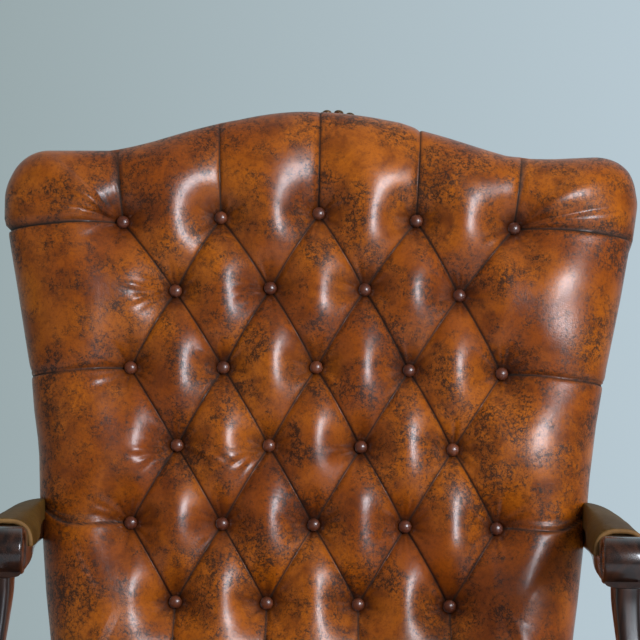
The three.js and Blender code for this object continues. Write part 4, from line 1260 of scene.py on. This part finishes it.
def make_arm_support(side):
    lap_x = rail_outer_x(support_foot) + border_thickness + fit * 3 + support_thickness / 2
    slant = math.atan2(seat_front_half_width - seat_rear_half_width, block_rear)
    outward = (side * math.cos(slant), math.sin(slant), 0)
    along = (side * math.sin(slant), -math.cos(slant), 0)
    low = rail_top - support_lap
    rise = arm_rail_bottom - fit - rail_top
    top_ahead = scroll_ahead - welt_radius
    table = [
        (low, lap_x, support_foot, 0.8, 0.93),
        (low + support_rounding / 3, lap_x, support_foot, 0.94, 0.99),
        (low + support_rounding, lap_x, support_foot, 1, 1),
    ]
    for height, across, sway, width, thick in eased(support_stations, 7):
        x = lap_x + (arm_line_x - lap_x) * across
        ahead = support_foot + (top_ahead - support_foot) * height + support_width * sway
        table.append((rail_top + rise * height, x, ahead, width, thick))
    rings = [
        rounded_ring(
            (side * x, pivot_y - ahead, height), outward, along,
            support_thickness / 2 * thick, support_width / 2 * width, 4,
        )
        for height, x, ahead, width, thick in table
    ]
    return as_mesh("arm_support", skin(rings), sharp=50)


for hand, side in hands:
    support = show(make_arm_support(side), f"curved_support_{hand}", upright_wood)
    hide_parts(f"arm_support_{hand}")


# Armrests. A firm pad of hair under plain worn leather sits on each arm rail. Its front
# end is closed by a leather welt, coloured lighter partly as painted highlight, and the
# hide is gathered a little at the welt.
# By the back the pad leans on the back's side, and the left one has sunk a little there.
pad_press = 1.5 * MM
pad_rear_lift = {1: 0.5 * MM, -1: -4.5 * MM}
lean_length = 330 * MM
lean_ridge = 0.88
arch_power = 0.74
arch_outer_change = 0.42
arch_inner_change = -0.36
round_end = 7 * MM
pad_lip = 1.2 * MM
gather_share = 0.012
gather_length = 26 * MM
pad_waviness = 0.006
pad_wave = 23 * MM


def plain_leather_finish(name, light, mid, dark, rough):
    """A plain dyed hide with a fine grain, darker where hands have greased it."""
    finish = Finish(bpy.data.materials.new(name))
    at = finish.place()
    broad = finish.noise(16, 3, 0.55)
    fine = finish.noise(150, 4, 0.6)
    tone = finish.mix(broad.stretched(0.36, 0.66), mid, light)
    tone = finish.mix(fine.stretched(0.42, 0.72) * 0.45, tone, dark)
    grain = finish.add("ShaderNodeTexVoronoi", {"feature": "F1"}, {"Vector": at, "Scale": 1000})
    normal = finish.bump(grain, 0.0002, 0.5)
    normal = finish.bump(fine, 0.0006, 0.3, normal)
    return finish.close(
        Base_Color=tone, Roughness=rough + fine * 0.12, Specular_IOR_Level=0.1,
        Normal=normal,
    )


def arm_section(ahead, side):
    """Middle, half width and top of the armrest. The hide packs against the back's side."""
    share = smooth((ahead + arm_rear) / (arm_front + arm_rear))
    swell = share**0.75
    rear_x = arm_rear_inner_x + pad_rear_half_width - pad_press
    x = rear_x + (arm_line_x - rear_x) * share
    half = pad_rear_half_width + (pad_half_width - pad_rear_half_width) * swell
    return x, half, arm_top + pad_rear_lift[side] * (1 - share)


def arch_ring(side, ahead, scale, gather=0.0):
    x, half, top = arm_section(ahead, side)
    base = arm_rail_top + fit
    angles = np.linspace(0, math.pi, 57)
    folds = scale + gather * np.sin(angles * 26 + 0.7 * np.sin(angles * 5)) * np.sin(angles)
    # By the back the arch leans on the back's side: its ridge lies near the inner edge.
    lean = 1 - smooth((ahead + arm_rear) / lean_length)
    ridge = -lean_ridge * lean * half
    outer = angles < math.pi / 2
    square = arch_power + np.where(outer, arch_outer_change, arch_inner_change) * lean
    wide = np.where(outer, half - ridge, half + ridge)
    across = ridge + wide * folds * np.sign(np.cos(angles)) * np.abs(np.cos(angles)) ** square
    rise = (top - base) * folds * np.sin(angles) ** square
    depth = np.full(len(angles), pivot_y - ahead)
    return np.stack([side * (x + across), depth, base + rise], axis=-1)


def make_arm_pad(side):
    ends = [(0, 0.8), (0.1, 0.88), (0.3, 0.94), (0.6, 0.98), (1, 1)]
    rings = [arch_ring(side, -arm_rear + round_end * share, scale) for share, scale in ends]
    for share in np.linspace(0, 1, 60)[1:]:
        ahead = -arm_rear + round_end + (arm_front + arm_rear - round_end - pad_lip) * share
        gather = gather_share * max(1 - (arm_front - ahead) / gather_length, 0)
        swell = pad_waviness * math.sin(ahead / pad_wave) * math.sin(math.pi * share)
        rings.append(arch_ring(side, ahead, 1 + swell, gather))
    rings.append(arch_ring(side, arm_front - pad_lip / 3, 0.985, gather_share))
    rings.append(arch_ring(side, arm_front, 0.94, gather_share / 2))
    return as_mesh("arm_pad", skin(rings), sharp=60)


arm_hide = plain_leather_finish(
    "arm_hide", (0.125, 0.066, 0.013), (0.088, 0.045, 0.009), (0.036, 0.02, 0.005), 0.5
)
for hand, side in hands:
    pad = show(make_arm_pad(side), f"armrest_{hand}", arm_hide)
    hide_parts(f"arm_pad_{hand}")


# Armrest welts. A cord covered in leather follows the arch of each armrest's
# front end, stitched close behind the cord. The leather is coloured lighter than the
# armrest's, partly because it is stretched over the cord and partly as painted highlight
# where the cord catches the light.
def tube(line, radius, normal, sides=14, pinch=0.0):
    """Skin of a round cord along a line. The normal is square to the line everywhere."""
    line = np.asarray(line)
    ways = np.gradient(line, axis=0)
    ways /= np.linalg.norm(ways, axis=1)[:, None]
    normal = np.broadcast_to(np.asarray(normal, float), line.shape)
    other = np.cross(ways, normal)
    other /= np.linalg.norm(other, axis=1)[:, None]
    angles = np.arange(sides) * math.tau / sides
    rings = []
    for i, centre in enumerate(line):
        size = radius * (1 + pinch * math.sin(i * 1.9))
        rings.append(
            centre + size * (np.cos(angles)[:, None] * normal[i] + np.sin(angles)[:, None] * other[i])
        )
    return skin(rings)


def make_arm_welt(side):
    x, half, top = arm_section(arm_front, side)
    base = arm_rail_top + fit
    angles = np.linspace(0, math.pi, 120)
    bend = np.sign(np.cos(angles)) * np.abs(np.cos(angles)) ** arch_power
    line = np.stack([
        side * (x + (half - welt_radius) * bend),
        np.full(len(angles), pivot_y - arm_front - fit - welt_radius),
        base + (top - base - welt_radius) * np.sin(angles) ** arch_power,
    ], axis=-1)
    return as_mesh("arm_welt", tube(line, welt_radius, (0, -1, 0), 16, 0.012))


# Lighter than the armrest's leather: partly pull-up leather lightened where it is stretched over the
# cord, partly painted highlight where the cord catches the light.
stretched_welt_hide_with_painted_highlight = plain_leather_finish(
    "stretched_welt_hide_with_painted_highlight", (0.27, 0.15, 0.052), (0.2, 0.105, 0.036), (0.09, 0.045, 0.016), 0.42
)
for hand, side in hands:
    welt = show(make_arm_welt(side), f"armrest_welt_{hand}", stretched_welt_hide_with_painted_highlight)
    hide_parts(f"arm_welt_{hand}")


# Seat border. A band of the antiqued hide is stretched round the front and sides of the
# seat frame. A thin welt finishes its upper edge, and dome nails fix the lower one.
border_low = 282 * MM
deck_top = 375.3 * MM
border_corner = 9 * MM
border_welt_radius = 1.6 * MM
border_nail_height = 288 * MM
border_ripple = 0.35 * MM
border_wave = 70 * MM


def border_path(out):
    """Round the seat from its right rear end by the front to the left rear end."""
    rear = on_back(0, slope_at((border_low + deck_top) / 2, fit), fit)[1] + fit
    sides = np.linspace(-(rear - pivot_y), seat_length - border_corner, 70)
    corner = np.linspace(0, math.pi / 2, 12)[1:-1]
    x = np.concatenate([
        rail_outer_x(np.minimum(sides, block_rear)) + out,
        seat_front_half_width - border_corner + (border_corner + out) * np.cos(corner),
    ])
    y = np.concatenate([
        pivot_y - sides,
        pivot_y - seat_length + border_corner - (border_corner + out) * np.sin(corner),
    ])
    right = np.stack([x, y], axis=-1)
    front_x = np.linspace(seat_front_half_width - border_corner, 0, 60)
    front = np.stack([front_x, np.full(60, pivot_y - seat_length - out)], axis=-1)
    half = np.concatenate([right, front])
    return np.concatenate([half, half[-2::-1] * (-1, 1)])


def make_border():
    outer = []
    for level in np.linspace(0, 1, 15):
        edge = min(level, 1 - level) * 9
        soft = math.sqrt(max(1 - max(1 - edge, 0) ** 2, 0))
        outer.append((fit + border_thickness * soft, border_low + (deck_top - border_low) * level))
    shape = [(fit, border_low), *outer, (fit, deck_top)]
    base = border_path(0.0)
    strips = []
    for out, height in shape:
        path = border_path(out)
        flat = np.stack([base[:, 0] + base[:, 1], np.full(len(base), height)], axis=-1)
        ripple = wander(flat, border_wave, 8)[:, None] * (out > 2 * MM)
        inwards = (border_path(out + border_ripple) - path) * ripple
        path = path - np.abs(inwards)
        strips.append(np.column_stack([path, np.full(len(path), height)]))
    stations = np.array(strips).transpose(1, 0, 2)
    return as_mesh("seat_border_hide", skin(list(stations)), sharp=70)


def make_border_welt():
    path = border_path(fit + border_thickness - border_welt_radius)
    line = np.column_stack([path, np.full(len(path), deck_top - border_welt_radius)])
    return as_mesh("seat_border_welt", tube(line, border_welt_radius, (0, 0, 1), 12, 0.02))


def make_border_nails():
    path = border_path(fit + border_thickness - nail_skirt)
    places, ways = along_line(path, nail_pitch)
    skins = []
    for (x, y), (way_x, way_y) in zip(places[1:-1], ways[1:-1]):
        spot = (x, y, border_nail_height)
        skins.append(nail(spot, (way_y, -way_x, 0), (0, 0, 1)))
    return as_mesh("seat_border_nails", *skins)


border = show(make_border(), "seat_border_hide", hide)
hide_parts("seat_border")
# The border's welt takes the same welt leather, whose colour is partly painted highlight.
border_welt = show(make_border_welt(), "seat_border_welt", stretched_welt_hide_with_painted_highlight)
border_nails = show(make_border_nails(), "seat_border_nails", bronze)


# Seat deck. A firm edge roll and a plain canvas-backed hide cover the springs. It is seen
# when the cushion is drawn out.
deck_low = 365.3 * MM
deck_plain = 8.9 * MM
deck_sag = 2.2 * MM
deck_waviness = 0.5 * MM
deck_wave = 18 * MM


def seat_outline(inset, count=60):
    """The seat frame's plan, from its right rear corner round to its left one."""
    path = border_path(-inset)
    rear = np.linspace(path[-1], path[0], count)[1:-1]
    return np.concatenate([path, rear])


def make_deck():
    rings = []
    for inset, height in (
        (1.5, 0.1), (1.2, 3), (1.2, 7.4), (2, 9), (4, 9.9), (9, 10), (20, 9.8), (27, 8.6), (33, 8.9),
    ):
        line = seat_outline(inset * MM)
        line[:, 1] = np.minimum(line[:, 1], line[0, 1] - inset * MM)
        rings.append(np.column_stack([line, np.full(len(line), deck_low + height * MM)]))
    rim = rings[-1]
    centre = np.array([0, rim[:, 1].mean(), 0])
    for share in np.linspace(1, 0.02, 24)[1:]:
        ring = centre + (rim - centre) * share
        ripple = deck_waviness * np.cos(ring[:, 0] / deck_wave)
        ring[:, 2] = deck_low + deck_plain - deck_sag * (1 - share**3) + ripple
        rings.append(ring)
    return as_mesh("deck_cover", skin(rings), sharp=60)


deck_hide = plain_leather_finish(
    "deck_hide", (0.11, 0.06, 0.024), (0.08, 0.043, 0.018), (0.04, 0.022, 0.011), 0.5
)
deck = show(make_deck(), "deck_cover", deck_hide)
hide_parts("seat_deck")


# Dust cover. Black cambric is stretched under the seat frame and tacked round its edge.
cambric_inset = 8 * MM
cambric_gap = 1.5 * MM
cambric_rear_gap = 2 * MM
cambric_drop = 1.9 * MM
cambric_sag = 3.2 * MM
cambric_waviness = 0.4 * MM
cambric_wave = 120 * MM


def cloth_finish(name, light, dark, threads, rough=0.9):
    """Plain-woven cloth: crossing threads that stand up by turns."""
    finish = Finish(bpy.data.materials.new(name))
    turn = {"wave_type": "BANDS", "bands_direction": "X", "wave_profile": "SIN"}
    waves = {"Vector": finish.place(), "Scale": threads, "Distortion": 0.4}
    warp = finish.add("ShaderNodeTexWave", turn, waves, "Fac")
    waves["Vector"] = finish.place(turn=(0, 0, math.pi / 2))
    weft = finish.add("ShaderNodeTexWave", turn, waves, "Fac")
    weave = warp * weft
    cloud = finish.noise(30, 3)
    tone = finish.mix((weave * 0.6 + cloud * 0.4).clipped(), dark, light)
    normal = finish.bump(weave, 0.0003, 0.6)
    return finish.close(Base_Color=tone, Roughness=rough - cloud * 0.1, Normal=normal)


def make_dust_cover():
    high = rail_bottom - fit
    rings = []
    edge = seat_outline(cambric_inset)
    rear = on_back(0, slope_at(rail_bottom, 0), 0)[1] - cambric_rear_gap
    edge[:, 1] = np.minimum(edge[:, 1], rear)
    inner = seat_front_half_width - leg_block - cambric_gap
    behind_leg = pivot_y - block_rear + cambric_gap
    near_leg = (edge[:, 1] < behind_leg) & (np.abs(edge[:, 0]) > inner)
    edge[near_leg, 1] = behind_leg
    centre = np.array([0, edge[:, 1].mean()])
    for share, drop in ((1, 0.2), (1, 1.6), (0.985, 2.0), (0.97, 1.8), (0.95, 1.9)):
        line = centre + (edge - centre) * share
        rings.append(np.column_stack([line, np.full(len(line), high - drop * MM)]))
    for share in np.linspace(0.95, 0.02, 20)[1:]:
        line = centre + (edge - centre) * share
        sag = cambric_drop + cambric_sag * (1 - (share / 0.95) ** 2)
        ripple = wander(line, cambric_wave, 31) * cambric_waviness * (1 - share)
        rings.append(np.column_stack([line, high - sag + ripple]))
    return as_mesh("dust_cover_cloth", skin(rings, caps=False))


cambric = cloth_finish("black_cambric", (0.03, 0.028, 0.027), (0.008, 0.008, 0.008), 500)
dust_cover = show(make_dust_cover(), "dust_cover_cloth", cambric)
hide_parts("dust_cover")


# Back webbing. Jute straps, woven over and under one another, are tacked across the back
# frame and carry the pad.
strap_width = 46 * MM
strap_pitch = 62 * MM
strap_thickness = 0.5 * MM
webbing_depth = 1.3 * MM
weave_rise = 0.45 * MM
strap_foot = 36 * MM
strap_head_gap = 26 * MM
strap_side_gap = 24 * MM
low_strap = 70 * MM


def strap(start, end, index, lift):
    """One strap along the back between two places, going over and under as it crosses."""
    start, end = np.array(start, float), np.array(end, float)
    way = (end - start) / np.linalg.norm(end - start)
    side = np.array([-way[1], way[0]]) * strap_width / 2
    rings = []
    for share in np.linspace(0, 1, 60):
        middle = start + (end - start) * share
        travel = middle @ np.abs(way)
        wave = lift * math.sin(math.pi * (travel / strap_pitch + index)) * weave_rise
        corners = [(-1, -1), (1, -1), (1, 1), (-1, 1)]
        flat = np.array([middle + side * a for a, _ in corners])
        out = np.array([webbing_depth + wave + b * strap_thickness / 2 for _, b in corners])
        rings.append(on_back(flat[:, 0], flat[:, 1], out))
    return skin(rings)


def make_webbing():
    straps = []
    for index in range(-3, 4):
        across = index * strap_pitch
        head = crest_height(across) - strap_head_gap
        straps.append(strap((across, strap_foot), (across, head), index, 1))
    for index in range(10):
        up = low_strap + index * strap_pitch
        reach = float(back_half_width(up)) - strap_side_gap
        straps.append(strap((-reach, up), (reach, up), index, -1))
    return as_mesh("jute_straps", *straps, sharp=40)


jute = cloth_finish("jute", (0.34, 0.24, 0.13), (0.12, 0.08, 0.045), 260)
straps = show(make_webbing(), "jute_straps", jute)
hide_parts("back_webbing")


# Seat cushion. A boxed cushion of the same hide over a feather-wrapped core. It is blown
# up as cloth from its cut pieces, so its sides pull in and its top creases at the corners,
# and a covered cord is sewn into both seams.
cushion_front = 548 * MM
cushion_rear = 62 * MM
cushion_box = 82 * MM
cushion_corner = 34 * MM
cushion_bottom = deck_top + fit
cushion_welt_radius = 3 * MM
cushion_inset = 4 * MM
cushion_crown = 15 * MM
cushion_side_gap = 11 * MM
cushion_clearance = 0.4 * MM
cushion_bottom_seam = 1 * MM
cushion_box_start = 5 * MM
cloth_spacing = 8 * MM
cushion_top_swell = 16 * MM
cushion_side_swell = 6 * MM
welt_standoff = 0.6 * MM / (270 * MM)
front_half = float(rail_outer_x(cushion_front)) - cushion_side_gap
rear_half = float(rail_outer_x(cushion_rear)) - cushion_side_gap


def cushion_outline(inset, spacing):
    """The cushion's plan with round corners, evenly spaced, starting at the rear middle."""
    corners = [(rear_half, -cushion_rear), (front_half, -cushion_front)]
    line = [np.array([0, -cushion_rear - inset])]
    for index, (x, y) in enumerate(corners):
        toward = -1 if index == 0 else 1
        hub = np.array([x - cushion_corner, y + toward * cushion_corner])
        begin = math.pi / 2 if index == 0 else 0
        for angle in np.linspace(begin, begin - math.pi / 2, 12):
            spoke = np.array([math.cos(angle), math.sin(angle)])
            line.append(hub + spoke * (cushion_corner - inset))
    line.append(np.array([0, -cushion_front + inset]))
    half = np.array(line)
    whole = np.concatenate([half, half[-2::-1] * (-1, 1)])
    places, _ = along_line(whole, spacing, 4)
    return places[:-1]


def make_cushion():
    """The cushion as cloth, and the places of its two seams."""
    outline = cushion_outline(cushion_inset, cloth_spacing)
    count = len(outline)
    centre = np.array([0, -(cushion_front + cushion_rear) / 2])
    rings = []

    def ring(share, height):
        line = centre + (outline - centre) * share
        rings.append(np.column_stack([line, np.full(count, height)]))

    shares = np.linspace(0.04, 1, 32)
    for share in shares[:-1]:
        ring(share, cushion_bottom + cushion_bottom_seam)
    low_seam = len(rings)
    top = cushion_bottom + cushion_box
    for height in np.linspace(cushion_bottom + cushion_box_start, top, 10):
        ring(1, height)
    high_seam = len(rings) - 1
    for share in shares[-2::-1]:
        ring(share, top + cushion_crown * 0.55 * (1 - share**2.4))
    start, faces = skin(rings)
    start[:, 1] += pivot_y
    mesh = smooth_mesh("cushion_cloth", start, faces)
    inflate(mesh)
    moved = np.empty(len(mesh.vertices) * 3)
    mesh.vertices.foreach_get("co", moved)
    moved = moved.reshape(-1, 3)
    push = moved - start
    cap = np.full(len(push), cushion_top_swell)
    off_middle = np.abs(start[:, 2] - cushion_bottom - cushion_box / 2)
    cap[off_middle < cushion_box / 2 + cushion_bottom_seam] = cushion_side_swell
    length = np.linalg.norm(push, axis=1)
    scale = np.where(length > cap, cap / np.maximum(length, 1e-9), 1)
    moved = start + push * scale[:, None]
    moved[:, 2] = np.maximum(moved[:, 2], cushion_bottom + cushion_clearance)
    mesh.vertices.foreach_set("co", moved.ravel())
    mesh.update()
    seams = [moved[row * count:(row + 1) * count] for row in (low_seam, high_seam)]
    return mesh, seams


def inflate(mesh):
    """Blows the mesh up as cloth for a few frames and keeps the shape it takes."""
    scene = bpy.context.scene
    body = bpy.data.objects.new("cushion_work", mesh)
    scene.collection.objects.link(body)
    cloth = body.modifiers.new("cloth", "CLOTH")
    settings = cloth.settings
    settings.quality = 6
    settings.mass = 0.4
    settings.use_pressure = True
    settings.uniform_pressure_force = 5
    settings.tension_stiffness = 30
    settings.compression_stiffness = 20
    settings.bending_stiffness = 1.2
    settings.effector_weights.gravity = 0
    cloth.collision_settings.use_collision = False
    cloth.point_cache.frame_start, cloth.point_cache.frame_end = 1, 20
    for step in range(1, 21):
        scene.frame_set(step)
    shaped = body.evaluated_get(bpy.context.evaluated_depsgraph_get())
    places = np.empty(len(mesh.vertices) * 3)
    shaped.data.vertices.foreach_get("co", places)
    bpy.data.objects.remove(body)
    mesh.vertices.foreach_set("co", places)
    scene.frame_set(1)


def closed_tube(loop, radius, sides=12):
    """Skin of a cord that follows a closed loop of places."""
    smoothed = (np.roll(loop, 1, 0) + 2 * loop + np.roll(loop, -1, 0)) / 4
    overlapping = np.vstack([smoothed[-1:], smoothed, smoothed[:2]])
    fine = eased(overlapping, 2)[2:2 * len(smoothed) + 3]
    return tube(fine, radius, (0, 0, 1), sides, 0.02)


cushion_mesh, seams = make_cushion()
# The seat is worn duller than the back.
seat_hide = leather_finish(
    "seat_hide", hide_light, hide_mid, hide_dark, hide_stain_and_crease_shade, 0.0, wear=0.28
)
cushion = show(cushion_mesh, "boxed_cushion", seat_hide, "cushion")
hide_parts("seat_cushion")
finer = cushion.modifiers.new("finer", "SUBSURF")
finer.levels = finer.render_levels = 1
for name, seam in zip(("low", "high"), seams):
    drawn = seam + (seam - seam.mean(axis=0)) * welt_standoff
    drawn[:, 2] = np.maximum(drawn[:, 2], cushion_bottom + cushion_welt_radius)
    cord = as_mesh("cushion_welt", closed_tube(drawn, cushion_welt_radius))
    welt = show(cord, f"cushion_welt_{name}", seat_hide, "cushion")


# Inner frame. Beech rails, glued corner blocks and wire springs are hidden by the covers.
# The frame's own solids stay, with the look of plain sawn beech and of drawn steel.
def beech_finish(name, along):
    finish = Finish(bpy.data.materials.new(name))
    stretch = tuple(0.06 if axis == along else 1 for axis in "xyz")
    rays = finish.noise(220, 3, 0.6, 0.4, finish.place(scale=stretch))
    flecks = finish.noise(900, 2, 0.5, 0, finish.place(scale=stretch))
    tone = finish.mix(rays.stretched(0.35, 0.68), (0.42, 0.27, 0.15), (0.3, 0.18, 0.095))
    tone = finish.mix(flecks.stretched(0.6, 0.72) * 0.5, tone, (0.2, 0.11, 0.06))
    normal = finish.bump(rays, 0.0003, 0.5)
    return finish.close(Base_Color=tone, Roughness=0.62 + flecks * 0.2, Normal=normal)


beech = {axis: beech_finish(f"beech_{axis}", axis) for axis in "xy"}
steel = metal_finish("drawn_steel", (0.42, 0.42, 0.43), (0.16, 0.14, 0.13), 0.3)
inner_frame = {
    "seat_rail_front": beech["x"], "seat_rail_rear": beech["x"], "back_base_rail": beech["x"],
    "crest_rail": beech["x"], "seat_rail_right": beech["y"], "seat_rail_left": beech["y"],
    "corner_block_right": beech["x"], "corner_block_left": beech["x"],
    **{f"seat_spring_{number}": steel for number in range(1, 5)},
}
for node, material in inner_frame.items():
    for material_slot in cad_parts[node].material_slots:
        material_slot.material = material
